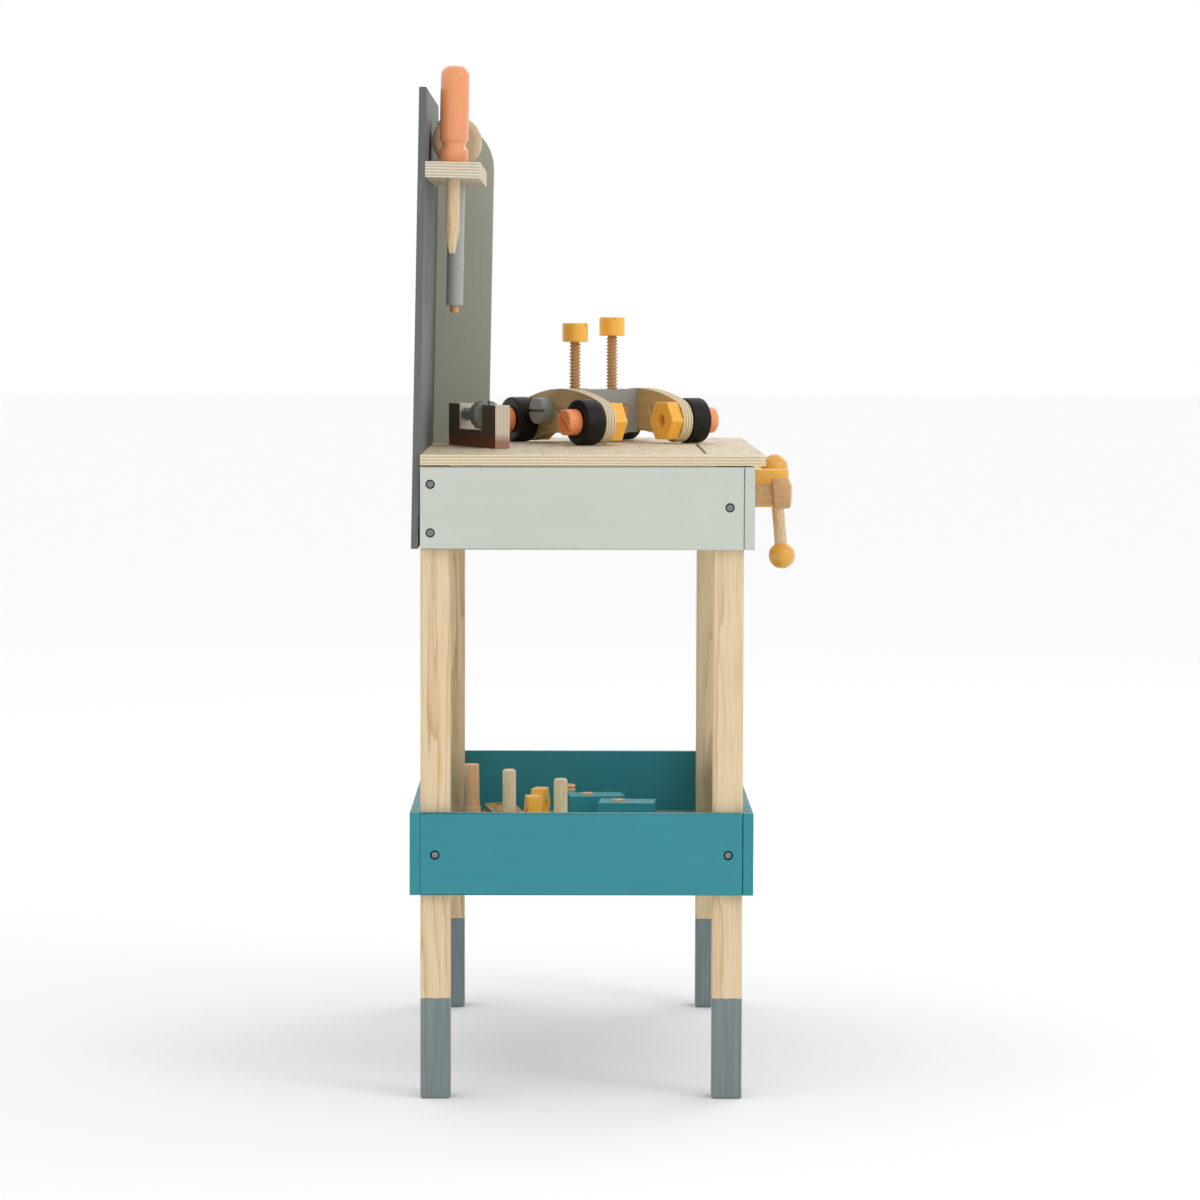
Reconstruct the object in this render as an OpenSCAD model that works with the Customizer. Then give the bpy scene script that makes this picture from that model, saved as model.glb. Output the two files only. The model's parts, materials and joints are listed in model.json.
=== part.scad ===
// Toy workbench: four legs, an apron and a shelf tray, a worktop with a front vise, a tool board
// with hanging tools, a bolted toy truck on top and loose building pieces in the tray.
// X runs along the bench's width, -Y is the front, +Z is up. The floor is at Z = 0.

/* [Frame] */
// Width over the side boards
bench_w = 500; // [470:1:540]
// Depth over the legs, front to back
leg_span = 264; // [250:1:290]
// Side of the square leg section
leg_w = 24.5; // [20:0.5:28]
// Height of the worktop's upper face
top_z = 529.5; // [520:0.5:545]
// Thickness of the plywood worktop
top_t = 8.5; // [6:0.5:9]
// Overhang of the worktop in front of the front board
top_overhang = 9; // [4:1:14]
// Corner radius of the worktop
top_corner_r = 6; // [2:1:12]
// Height of the painted apron and tray boards
board_h = 67.5; // [62:0.5:68]
// Thickness of the side boards
side_t = 8; // [6:0.5:10]
// Thickness of the front and back boards
board_t = 8.5; // [6:0.5:10]
// Height of the apron's lower edge
apron_z = 452.5; // [445:0.5:453]
// Height of the tray's lower edge
tray_z = 169.5; // [150:0.5:190]
// Height of the tray floor's upper face above the tray's lower edge
floor_rise = 12.5; // [11:0.5:16]
// Thickness of the tray floor
floor_t = 5; // [3:0.5:6]

/* [Worktop details] */
// Radius of the peg holes
peg_hole_r = 6.2; // [5:0.1:8]
// Distance of the peg holes from the middle, along the width
peg_hole_x = 190; // [170:1:200]
// Distance of the peg holes from the middle, along the depth
peg_hole_y = 46; // [30:1:60]
// Width of the sawn ruler groove
groove_w = 3; // [2:0.5:4]
// Distance of the groove from the worktop's front edge
groove_inset = 48; // [44:1:52]

/* [Tool board] */
// Forward lean of the tool board, in degrees
lean = 1.05; // [0:0.05:1.5]
// Width of the tool board
panel_w = 323; // [318:1:330]
// Thickness of the tool board
panel_t = 6; // [5:0.5:8]
// Height of the tool board, lower edge to upper edge
panel_h = 374.6; // [360:0.1:390]
// Radius of the tool board's far upper corner
panel_corner_r = 20; // [5:1:30]
// Depth of the end wing, in front of the tool board
wing_d = 50; // [46:1:54]
// Thickness of the end wing
wing_t = 8; // [6:0.5:10]
// Height of the wing's upper edge above the worktop
wing_h = 284.5; // [270:0.5:290]
// Radius of the wing's upper front corner
wing_corner_r = 42; // [20:1:45]
// Height of the tool shelf's upper face above the worktop
shelf_rise = 237.7; // [230:0.1:240]
// Thickness of the tool shelf
shelf_t = 13; // [12:0.5:18]
// Depth of the tool shelf
shelf_d = 45; // [42:0.5:52]
// Length of the tool shelf
shelf_len = 248; // [240:1:300]

/* [Vise] */
// Width of the vise jaw
jaw_w = 200; // [180:1:200]
// Distance that the jaw's end blocks reach in front of the front board
jaw_reach = 34.6; // [30:0.1:36]
// Thickness of the jaw's face board
jaw_web = 11.8; // [10:0.1:12]
// Height of the spindle's axis
spindle_z = 489; // [485:0.5:490]
// Radius of the spindle
spindle_r = 8; // [7:0.1:8]
// Radius of the spindle's head
spindle_head_r = 11; // [10:0.1:12]
// Radius of the tommy bar
bar_r = 5.35; // [4.5:0.05:5.5]
// Radius of the balls on the tommy bar
ball_r = 11.5; // [11:0.1:12]
// Distance between the two balls' centres
ball_gap = 77; // [74:0.5:80]
// Tilt of the tommy bar in the spindle's head, in degrees
bar_tilt = 5; // [0:0.5:5]

/* [Toy truck] */
// Place of the truck's middle, along the width
truck_x = 83.5; // [80:0.5:88]
// Place of the truck's middle, along the depth
truck_y = -23.6; // [-30:0.2:-20]
// Turn of the truck on the worktop, in degrees
truck_turn = 32; // [30:1:34]
// Distance between the front and the rear axles
wheelbase = 112; // [110:1:114]
// Distance between the left and the right wheels' middles
track = 116; // [114:1:118]
// Radius of the wheels
wheel_r = 20; // [18:0.5:20]
// Width of the wheels
wheel_w = 20; // [16:0.5:20]
// Thickness of the arched side plates
plate_t = 10; // [8:0.5:10]
// Rise of the side plates' arch
arch_rise = 9.2; // [6:0.1:12]
// Radius of the toy bolts' shanks
bolt_r = 5.5; // [5:0.1:5.6]
// Radius of the toy bolts' heads
bolt_head_r = 11.4; // [10:0.1:12]
// Width across the flats of the hexagon nuts
nut_flats = 33; // [30:0.5:33]
// Thickness of the hexagon nuts
nut_t = 12; // [10:0.5:13]

/* [Hidden] */
$fn = 64;

// Gaps: between pieces that slide or turn on each other, around screws, and between loose pieces
running = 0.08;
screw_gap = 0.2;
loose = 0.3;
eps = 0.5;

// Frame
half_w = bench_w / 2;
half_d = leg_span / 2;
leg_x = half_w - side_t - leg_w / 2;
leg_y = half_d - leg_w / 2;
top_under = top_z - top_t;
front_y = -half_d - board_t;
top_front = front_y - top_overhang;
bay_x = half_w - side_t - leg_w;
bay_y = half_d - leg_w;
batten_h = 18;
batten_t = 14;
cleat_t = 10;

// Screws with a hexagon socket, sunk a little below the boards' faces
screw_r = 2;
screw_head_r = 3.6;
screw_head_t = 2.2;
screw_len = 26;
screw_sink = 2.8;
side_screw_spots = [
    [123.7 / 132, apron_z + 53], [123.7 / 132, apron_z + 13.5], [-120.1 / 132, apron_z + 34.5],
    [119.9 / 132, tray_z + 33], [-119.9 / 132, tray_z + 33]];
front_screw_heights = [apron_z + 50, apron_z + 17, tray_z + 48];
back_screw_heights = [tray_z + 48];

// Tool board
panel_x0 = -half_w + side_t;
panel_x1 = panel_x0 + panel_w;
panel_z0 = top_z - 77.1;
wing_x = panel_x1 - wing_t;
shelf_z = top_z + shelf_rise;
shelf_y = half_d + loose - shelf_d / 2;
driver_x = -220;
hammer_x = -120;
spare_driver_x = -30;
empty_hole_x = [-170, -75];
shelf_corner_r = 5;
blade_r = 5.65;
blade_hole_r = 6.15;
spare_blade_r = 4.5;
hammer_handle_r = 7.1;
hammer_hole_r = 7.8;
hammer_head_r = 20.3;
hammer_head_len = 62;
panel_screw_x = [-229.75, -120, -10, 70];
panel_screw_heights = [apron_z + 18, apron_z + 50];

// Vise
jaw_top = apron_z + 59.9;
jaw_low = apron_z + 28.3;
web_low = apron_z + 9.5;
jaw_gap = loose;
block_w = 24;
tongue_w = 56;
tongue_t = 9;
head_mid = 29.5;
head_len = 26;
thread_len = 60;
thread_pitch = 5;
collar_r = 12.5;
guide_r = 5;
guide_x = 60;
guide_z = spindle_z + 3;
ball_seat = spindle_head_r + 10.9;
nut_block = 40;
nut_block_t = 16;
peg_x = -120;
peg_z = apron_z + 39.7;
peg_shaft_r = 9;
peg_head_r = 13.2;
peg_tilt = 4;
peg_reach = 20.7;
peg_head_len = 15.1;

// Toy truck, in its own frame: x along its length, y to its left, z above the worktop
plate_in = track / 2 - wheel_w / 2 - plate_t;
plate_out = track / 2 - wheel_w / 2;
wheel_out = track / 2 + wheel_w / 2;
plate_half = 19;
arch_r = (pow(wheelbase / 2, 2) + pow(arch_rise, 2)) / (2 * arch_rise);
block_x0 = 10.5;
block_len = 28;
block_z0 = 8.5;
block_h = 38.5;
bolt_head_len = 13;
bolt_short = 5;
plate_back = [10, 1.5];
screw_spot_y = 19.5;
stud_y = -25;
stud_z = 28.4;
screw_tops = [106, 111.3];
screw_head_h = 17;

// Notched beam
beam_len = 116;
beam_t = 13;
beam_h = 36.4;
notch_x0 = 32;
notch_x1 = 88;
notch_depth = 22;

// Loose pieces in the tray: the floor, and each painted block's and each nut's place and turn
floor_top = tray_z + floor_rise;
tray_block_spots = [[158, -14, 5], [105, -42, -4]];
tray_nut_spots = [[67, 42.6, 8], [130, 36.8, -12]];

// The origin is the middle of the whole bench's footprint box
back_reach = half_d + board_t;
front_reach = -front_y + head_mid + (ball_gap - ball_seat) * sin(bar_tilt) + ball_r;
y_shift = (front_reach - back_reach) / 2;

module placed() {
    translate([0, y_shift, 0])
        children();
}

// Leans a piece of the tool board forward about the worktop's back edge
module leaned() {
    translate([0, half_d + loose, top_z])
        rotate([lean, 0, 0])
            translate([0, -half_d - loose, -top_z])
                children();
}

// A round bar or hole from a point along X, Y or Z
module along_x(p, r, h) {
    translate(p)
        rotate([0, 90, 0])
            cylinder(r = r, h = h);
}

module along_y(p, r, h) {
    translate(p)
        rotate([-90, 0, 0])
            cylinder(r = r, h = h);
}

module along_z(p, r, h) {
    translate(p)
        cylinder(r = r, h = h);
}

// What a rounded corner takes away: a square post less the round of radius r at its inner corner
module corner_cutter(r, h) {
    difference() {
        translate([0, 0, -eps])
            cube([r + eps, r + eps, h + 2 * eps]);
        translate([0, 0, -2 * eps])
            cylinder(r = r, h = h + 4 * eps);
    }
}

// A rod along +Z with ring-shaped ridges
module ridged_rod(r, root, pitch, len) {
    turns = floor(len / pitch);
    step = len / turns;
    ridges = [for (i = [0 : turns - 1]) each
        [[root, i * step], [r, (i + 0.35) * step], [r, (i + 0.55) * step]]];
    rotate_extrude()
        polygon(concat([[0, 0]], ridges, [[root, len], [0, len]]));
}

// A slotted toy bolt head along +Z, its outer face at the top
module slotted_head(r, h) {
    difference() {
        union() {
            cylinder(r = r, h = h - 1.2);
            translate([0, 0, h - 1.2])
                cylinder(r1 = r, r2 = r - 1.2, h = 1.2);
        }
        translate([-r - 1, -1.2, h - 3])
            cube([2 * r + 2, 2.4, 4]);
    }
}

// A hexagon nut along +Z with a round hole, two of its flats facing along X
module hex_nut(flats, t, hole_r) {
    difference() {
        rotate([0, 0, 30])
            cylinder(r = flats / 2 / cos(30), h = t, $fn = 6);
        translate([0, 0, -1])
            cylinder(r = hole_r, h = t + 2);
    }
}

// The room for a screw's head, from the board's face at Z = 0 down along -Z
module head_sink() {
    translate([0, 0, -screw_sink])
        cylinder(r = screw_head_r + 0.3, h = screw_sink + 1);
}

// A screw along +Z, sunk below the board's face at Z = 0: the shank runs down from its head
module socket_screw(len) {
    translate([0, 0, -screw_sink])
        difference() {
            union() {
                translate([0, 0, screw_sink - len])
                    cylinder(r = screw_r, h = len - screw_sink);
                cylinder(r = screw_head_r, h = 1);
                translate([0, 0, 1])
                    cylinder(r1 = screw_head_r, r2 = screw_head_r - 1.2, h = screw_head_t - 1);
            }
            translate([0, 0, 0.7])
                cylinder(r = 1.5, h = 3, $fn = 6);
        }
}

// Holes for the screws that run along X into a side board and a leg
module side_screw_holes() {
    for (s = side_screw_spots) {
        along_x([-half_w - 1, s[0] * half_d, s[1]], screw_r + screw_gap, screw_len + 2);
        translate([-half_w, s[0] * half_d, s[1]])
            rotate([0, -90, 0])
                head_sink();
    }
}

// Holes for the screws that run along Y through the front boards into the legs
module front_screw_holes() {
    for (side = [-1, 1], z = front_screw_heights) {
        along_y([side * leg_x, front_y - 1, z], screw_r + screw_gap, screw_len + 2);
        vise_axis(side * leg_x, z)
            head_sink();
    }
}

module back_screw_holes() {
    for (side = [-1, 1], z = back_screw_heights) {
        along_y([side * leg_x, half_d + board_t + 1 - screw_len - 2, z], screw_r + screw_gap,
            screw_len + 2);
        translate([side * leg_x, half_d + board_t, z])
            rotate([-90, 0, 0])
                head_sink();
    }
}

// Screws that hold the tool board, in the leaned board's own frame
module board_screw_holes() {
    for (x = panel_screw_x, z = panel_screw_heights) {
        along_y([x, half_d + loose + panel_t + 1 - 20, z], screw_r + screw_gap, 20);
        translate([x, half_d + loose + panel_t, z])
            rotate([-90, 0, 0])
                head_sink();
    }
}

// All four legs are one shape: the near left front one mirrored to its place
module leg(side_x, side_y) {
    placed()
        color("burlywood")
            difference() {
                translate([side_x * leg_x - leg_w / 2, side_y * leg_y - leg_w / 2, 0])
                    cube([leg_w, leg_w, top_under]);
                mirror([side_x > 0 ? 1 : 0, 0, 0])
                    side_screw_holes();
                if (side_y < 0)
                    front_screw_holes();
                else
                    back_screw_holes();
                if (side_y > 0 && side_x < 0)
                    leaned()
                        board_screw_holes();
            }
}

module leg_front_left() {
    leg(-1, -1);
}

module leg_front_right() {
    leg(1, -1);
}

module leg_back_left() {
    leg(-1, 1);
}

module leg_back_right() {
    leg(1, 1);
}

// A side board on the outer faces of the legs, with its lower edge at z0
module side_board(side, z0) {
    mirror([side > 0 ? 1 : 0, 0, 0])
        difference() {
            translate([-half_w, -half_d, z0])
                cube([side_t, leg_span, board_h]);
            side_screw_holes();
        }
}

module apron_left() {
    placed()
        color("#c7cdc3")
            side_board(-1, apron_z);
}

module apron_right() {
    placed()
        color("#c7cdc3")
            side_board(1, apron_z);
}

// The front board carries the vise and the tool peg
module apron_front() {
    placed()
        color("#c7cdc3")
            difference() {
                translate([-half_w, front_y, apron_z])
                    cube([bench_w, board_t, board_h]);
                front_screw_holes();
                along_y([0, front_y - 1, spindle_z], spindle_r + 0.5, board_t + 2);
                for (side = [-1, 1])
                    along_y([side * guide_x, front_y - 1, guide_z], guide_r + running,
                        board_t + 2);
                translate([peg_x, front_y, peg_z])
                    rotate([90 - peg_tilt, 0, 0])
                        cylinder(r = peg_shaft_r - 3, h = 40, center = true);
            }
}

// The back board sits between the back legs
module apron_back() {
    placed()
        color("#c7cdc3")
            difference() {
                translate([-bay_x, half_d - board_t, apron_z])
                    cube([2 * bay_x, board_t, board_h]);
                leaned()
                    board_screw_holes();
            }
}

module worktop() {
    depth = half_d - top_front;
    placed()
        color("#e3d3ae")
            difference() {
                translate([-half_w, top_front, top_under])
                    cube([bench_w, depth, top_t]);
                for (side = [-1, 1])
                    translate([side * (half_w - top_corner_r), top_front + top_corner_r, top_under])
                        rotate([0, 0, side > 0 ? -90 : 180])
                            corner_cutter(top_corner_r, top_t);
                for (sx = [-1, 1], sy = [-1, 1])
                    along_z([sx * peg_hole_x, sy * peg_hole_y, top_under - 1], peg_hole_r,
                        top_t + 2);
                translate([-peg_hole_x - 15, top_front + groove_inset - groove_w / 2, top_z - 5])
                    cube([2 * peg_hole_x + 30, groove_w, 6]);
            }
}

// Battens under the worktop, along the front and the back boards
module worktop_battens() {
    placed()
        color("tan")
            for (y = [-half_d, half_d - board_t - batten_t])
                translate([-bay_x, y, top_under - batten_h])
                    cube([2 * bay_x, batten_t, batten_h]);
}

module tray_left() {
    placed()
        color("#408c96")
            side_board(-1, tray_z);
}

module tray_right() {
    placed()
        color("#408c96")
            side_board(1, tray_z);
}

module tray_front() {
    placed()
        color("#408c96")
            difference() {
                translate([-half_w, front_y, tray_z])
                    cube([bench_w, board_t, board_h]);
                front_screw_holes();
            }
}

module tray_back() {
    placed()
        color("#408c96")
            difference() {
                translate([-half_w, half_d, tray_z])
                    cube([bench_w, board_t, board_h]);
                back_screw_holes();
            }
}

// The floor panel, notched around the four legs
module tray_floor() {
    placed()
        color("#8fa3a0")
            difference() {
                translate([-half_w + side_t, -half_d, floor_top - floor_t])
                    cube([bench_w - 2 * side_t, leg_span, floor_t]);
                for (sx = [-1, 1], sy = [-1, 1])
                    translate([sx * (leg_x + 2) - leg_w / 2 - 2, sy * (leg_y + 2) - leg_w / 2 - 2,
                        floor_top - floor_t - 1])
                        cube([leg_w + 4, leg_w + 4, floor_t + 2]);
            }
}

// Cleats that carry the tray floor
module tray_cleats() {
    placed()
        color("tan")
            for (y = [-half_d, half_d - cleat_t])
                translate([-bay_x, y, tray_z])
                    cube([2 * bay_x, cleat_t, floor_rise - floor_t]);
}

module side_screws() {
    placed()
        color("dimgray")
            for (side = [0, 1], s = side_screw_spots)
                mirror([side, 0, 0])
                    translate([-half_w, s[0] * half_d, s[1]])
                        rotate([0, -90, 0])
                            socket_screw(screw_len - 2);
}

module front_screws() {
    placed()
        color("dimgray")
            for (side = [-1, 1], z = front_screw_heights)
                translate([side * leg_x, front_y, z])
                    rotate([90, 0, 0])
                        socket_screw(screw_len - 2);
}

module back_screws() {
    placed()
        color("dimgray")
            for (side = [-1, 1], z = back_screw_heights)
                translate([side * leg_x, half_d + board_t, z])
                    rotate([-90, 0, 0])
                        socket_screw(screw_len - 2);
}

module tool_board() {
    placed()
        color("#64696c")
            leaned()
                difference() {
                    translate([panel_x0, half_d + loose, panel_z0])
                        cube([panel_w, panel_t, panel_h]);
                    translate([panel_x1 - panel_corner_r, half_d + loose + panel_t,
                        panel_z0 + panel_h - panel_corner_r])
                        rotate([90, 0, 0])
                            corner_cutter(panel_corner_r, panel_t);
                    board_screw_holes();
                }
}

// The wing at the tool board's far end stands on the worktop
module board_wing() {
    placed()
        color("#a9ad9f")
            difference() {
                leaned()
                    difference() {
                        translate([wing_x, half_d + loose - wing_d, top_z - 1])
                            cube([wing_t, wing_d, wing_h + 1]);
                        translate([wing_x, half_d + loose - wing_d + wing_corner_r,
                            top_z + wing_h - wing_corner_r])
                            rotate([90, 0, 90])
                                rotate([0, 0, 90])
                                    corner_cutter(wing_corner_r, wing_t);
                    }
                translate([wing_x - 5, 0, top_z - 20])
                    cube([wing_t + 10, half_d + 10, 20]);
            }
}

module tool_shelf() {
    placed()
        color("#e3d3ae")
            leaned()
                difference() {
                    translate([panel_x0, half_d + loose - shelf_d, shelf_z - shelf_t])
                        cube([shelf_len, shelf_d, shelf_t]);
                    for (end = [0, 1])
                        translate([panel_x0 + end * shelf_len, half_d + loose - shelf_d,
                            shelf_z - shelf_t])
                            rotate([0, 0, end * 90])
                                translate([shelf_corner_r, shelf_corner_r, 0])
                                    rotate([0, 0, 180])
                                        corner_cutter(shelf_corner_r, shelf_t);
                    for (x = concat([driver_x], empty_hole_x))
                        along_z([x, shelf_y, shelf_z - shelf_t - 1], blade_hole_r, shelf_t + 2);
                    along_z([spare_driver_x, shelf_y, shelf_z - shelf_t - 1],
                        spare_blade_r + 0.5, shelf_t + 2);
                    along_z([hammer_x, shelf_y, shelf_z - shelf_t - 1], hammer_hole_r,
                        shelf_t + 2);
                }
}

module board_screws() {
    placed()
        color("dimgray")
            leaned()
                for (x = panel_screw_x, z = panel_screw_heights)
                    translate([x, half_d + loose + panel_t, z])
                        rotate([-90, 0, 0])
                            socket_screw(panel_t + 6);
}

// A mushroom-shaped peg in the front board, tilted up a little
module tool_peg() {
    placed()
        color("#c3935f")
            translate([peg_x, front_y, peg_z])
                rotate([90 - peg_tilt, 0, 0]) {
                    translate([0, 0, -board_t + 1])
                        cylinder(r = peg_shaft_r - 3 - 0.05, h = board_t);
                    translate([0, 0, 0.8])
                        cylinder(r = peg_shaft_r, h = peg_reach);
                    translate([0, 0, peg_reach])
                        cylinder(r = peg_head_r, h = peg_head_len - 2.2);
                    translate([0, 0, peg_reach + peg_head_len - 2.2])
                        cylinder(r1 = peg_head_r, r2 = peg_head_r - 2, h = 2.2);
                }
}

// The vise's pieces are drawn along +Z = out of the front board, from the board's outer face
module vise_axis(x, z) {
    translate([x, front_y, z])
        rotate([90, 0, 0])
            children();
}

// The threaded block behind the front board
module vise_nut() {
    placed()
        color("tan")
            difference() {
                translate([-nut_block / 2, -half_d, spindle_z - nut_block / 2])
                    cube([nut_block, nut_block_t, top_under - batten_h - spindle_z
                        + nut_block / 2]);
                along_y([0, -half_d - 1, spindle_z], spindle_r + running, nut_block_t + 2);
            }
}

// The jaw: a face board with a thick block at each end, so that the tommy bar turns between them,
// and a thin tongue below it around the spindle
module vise_jaw() {
    placed()
        color("#e0a545")
            difference() {
                union() {
                    translate([-jaw_w / 2, front_y - jaw_gap - jaw_web, jaw_low])
                        cube([jaw_w, jaw_web, jaw_top - jaw_low]);
                    translate([-tongue_w / 2, front_y - jaw_gap - tongue_t, web_low])
                        cube([tongue_w, tongue_t, jaw_top - web_low]);
                    for (side = [-1, 1])
                        translate([side * (jaw_w - block_w) / 2 - block_w / 2,
                            front_y - jaw_reach, jaw_low])
                            cube([block_w, jaw_reach - jaw_gap, jaw_top - jaw_low]);
                }
                vise_axis(0, spindle_z) {
                    cylinder(r = spindle_r + running, h = jaw_reach);
                    cylinder(r = collar_r + 1, h = 4.8);
                }
                for (side = [-1, 1])
                    vise_axis(side * guide_x, guide_z)
                        cylinder(r = guide_r + 0.02, h = 9);
            }
}

// Guide dowels that keep the jaw level
module vise_guides() {
    placed()
        color("#c3935f")
            for (side = [-1, 1])
                vise_axis(side * guide_x, guide_z)
                    translate([0, 0, -60])
                        cylinder(r = guide_r, h = 68.5);
}

module vise_spindle() {
    placed()
        color("#c3935f")
            vise_axis(0, spindle_z)
                difference() {
                    union() {
                        translate([0, 0, -thread_len])
                            ridged_rod(spindle_r, spindle_r - 1.8, thread_pitch, thread_len);
                        cylinder(r = spindle_r, h = head_mid);
                        translate([0, 0, head_mid - head_len / 2])
                            cylinder(r = spindle_head_r, h = head_len - 2);
                        translate([0, 0, head_mid + head_len / 2 - 2])
                            cylinder(r1 = spindle_head_r, r2 = spindle_head_r - 2, h = 2);
                    }
                    translate([0, 0, head_mid])
                        rotate([-90 - bar_tilt, 0, 0])
                            cylinder(r = bar_r + running, h = 40, center = true);
                }
}

// The collar behind the jaw's face board pulls the jaw open
module vise_collar() {
    placed()
        color("#c3935f")
            vise_axis(0, spindle_z)
                translate([0, 0, 0.8])
                    difference() {
                        cylinder(r = collar_r, h = 3.6);
                        translate([0, 0, -1])
                            cylinder(r = spindle_r + 0.02, h = 6);
                    }
}

// The tommy bar's frame: its middle in the spindle's head, +Z along the bar
module bar_axis() {
    translate([0, front_y - head_mid, spindle_z])
        rotate([-bar_tilt, 0, 0])
            children();
}

module tommy_bar() {
    placed()
        color("#d8bd8a")
            bar_axis()
                translate([0, 0, ball_seat - ball_gap + 2])
                    cylinder(r = bar_r, h = ball_gap - 4);
}

module tommy_balls() {
    placed()
        color("#e0a545")
            bar_axis()
                difference() {
                    for (z = [ball_seat, ball_seat - ball_gap])
                        translate([0, 0, z])
                            sphere(r = ball_r);
                    translate([0, 0, ball_seat - ball_gap + 1.9])
                        cylinder(r = bar_r + 0.02, h = ball_gap - 3.8);
                }
}

// A tool's frame: on the tool shelf's upper face, above a hole
module shelf_spot(x) {
    leaned()
        translate([x, shelf_y, shelf_z + loose])
            children();
}

// Screwdriver handle: collar, round groove, grip and domed end
module turned_handle(len, r) {
    difference() {
        rotate_extrude()
            polygon(concat([[0, 0], [11.2, 0], [11.75, 1], [11.75, 9]],
                [for (i = [0 : 8]) [11.75 - 2.2 * sin(i * 180 / 8), 9 + 9 * i / 8]],
                [[11.75, 19]],
                [for (i = [0 : 8]) [3.75 + 8 * cos(i * 90 / 8), len - 8 + 8 * sin(i * 90 / 8)]],
                [[0, len]]));
        translate([0, 0, -1])
            cylinder(r = r + 0.05, h = 21);
    }
}

// Screwdriver blade: a dowel with a flat, tapered tip
module turned_blade(len, r, turn) {
    rotate([0, 0, turn])
        difference() {
            translate([0, 0, -len])
                cylinder(r = r, h = len + 20);
            for (side = [0, 1])
                mirror([0, side, 0])
                    translate([-10, 1.8, -len - 2])
                        rotate([-11, 0, 0])
                            cube([20, 10, 30]);
        }
}

module driver_handle() {
    placed()
        color("#e79069")
            shelf_spot(driver_x)
                turned_handle(78, blade_r);
}

module driver_blade() {
    placed()
        color("#cdb994")
            shelf_spot(driver_x)
                turned_blade(74, blade_r, 0);
}

module spare_driver_handle() {
    placed()
        color("#e79069")
            shelf_spot(spare_driver_x)
                turned_handle(34, spare_blade_r);
}

module spare_driver_blade() {
    placed()
        color("#cdb994")
            shelf_spot(spare_driver_x)
                turned_blade(80.5, spare_blade_r, 90);
}

module hammer_head() {
    placed()
        color("#b7a080")
            shelf_spot(hammer_x)
                difference() {
                    along_x([-hammer_head_len / 2, 0, hammer_head_r], hammer_head_r,
                        hammer_head_len);
                    along_z([0, 0, -1], hammer_handle_r + 0.05, 25.5);
                }
}

module hammer_handle() {
    placed()
        color("#94958e")
            shelf_spot(hammer_x) {
                along_z([0, 0, -116.7], hammer_handle_r, 141);
                along_z([0, 0, -122.7], 3.6, 8);
            }
}

// The truck's own frame on the worktop
module truck_frame() {
    translate([truck_x, truck_y, top_z + loose])
        rotate([0, 0, truck_turn])
            children();
}

// One wheel's place, with the axle's outward direction along +Z
module at_axle(sx, sy) {
    translate([sx * wheelbase / 2 + plate_back[sy > 0 ? 1 : 0], 0, wheel_r])
        rotate([sy > 0 ? -90 : 90, 0, 0])
            children();
}

// Points on a round of radius r about c, from angle a0 to a1, counted from +Z towards +X
function arc_points(c, r, a0, a1, steps) =
    [for (i = [0 : steps]) c + r * [sin(a0 + (a1 - a0) * i / steps),
        cos(a0 + (a1 - a0) * i / steps)]];

// An arched side plate between y0 and y0 + plate_t, set back by an amount along the truck, with
// the axle holes, the block's bolt hole and a smaller empty hole
module arched_plate(y0, back) {
    centre = [0, wheel_r + arch_rise - arch_r];
    half_angle = asin(wheelbase / 2 / arch_r);
    right_end = [wheelbase / 2, wheel_r];
    left_end = [-wheelbase / 2, wheel_r];
    cap = plate_half;
    translate([back, y0 + plate_t, 0])
        rotate([90, 0, 0])
            difference() {
                linear_extrude(plate_t)
                    polygon(concat(
                        arc_points(centre, arch_r + cap, -half_angle, half_angle - 1, 20),
                        arc_points(right_end, cap, half_angle, half_angle + 179, 20),
                        arc_points(centre, arch_r - cap, half_angle, 1 - half_angle, 16),
                        arc_points(left_end, cap, 180 - half_angle, 359 - half_angle, 20)));
                for (sx = [-1, 1])
                    translate([sx * wheelbase / 2, wheel_r, -1])
                        cylinder(r = bolt_r + 0.05, h = plate_t + 2);
                translate([block_x0 + block_len / 2 - back, stud_z, -1])
                    cylinder(r = bolt_r + 0.05, h = plate_t + 2);
                translate([-12 - back, stud_z, -1])
                    cylinder(r = 4, h = plate_t + 2);
            }
}

module truck_plate_left() {
    placed()
        color("#b59a6a")
            truck_frame()
                arched_plate(plate_in, plate_back[1]);
}

module truck_plate_right() {
    placed()
        color("#b59a6a")
            truck_frame()
                arched_plate(-plate_out, plate_back[0]);
}

module truck_block() {
    placed()
        color("#9a9d96")
            truck_frame()
                difference() {
                    translate([block_x0, -plate_in, block_z0])
                        cube([block_len, 2 * plate_in, block_h]);
                    along_y([block_x0 + block_len / 2, -plate_in - 1, stud_z], bolt_r + 0.05,
                        15);
                    along_y([block_x0 + block_len / 2, plate_in - 14, stud_z], bolt_r + 0.05,
                        15);
                    for (y = [-1, 1] * screw_spot_y)
                        along_z([block_x0 + block_len / 2, y, block_z0 + 14], bolt_r + 0.05,
                            block_h);
                    along_x([block_x0 - 1, stud_y, stud_z], bolt_r + 0.05, 7.2);
                }
}

// A second block with a round top, behind the first
module truck_rear_block() {
    placed()
        color("#9a9d96")
            truck_frame()
                translate([block_x0 + block_len, 0, block_z0 + 2]) {
                    translate([0, -20, 0])
                        cube([22, 40, 17]);
                    along_x([0, 0, 17], 20, 22);
                }
}

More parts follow.
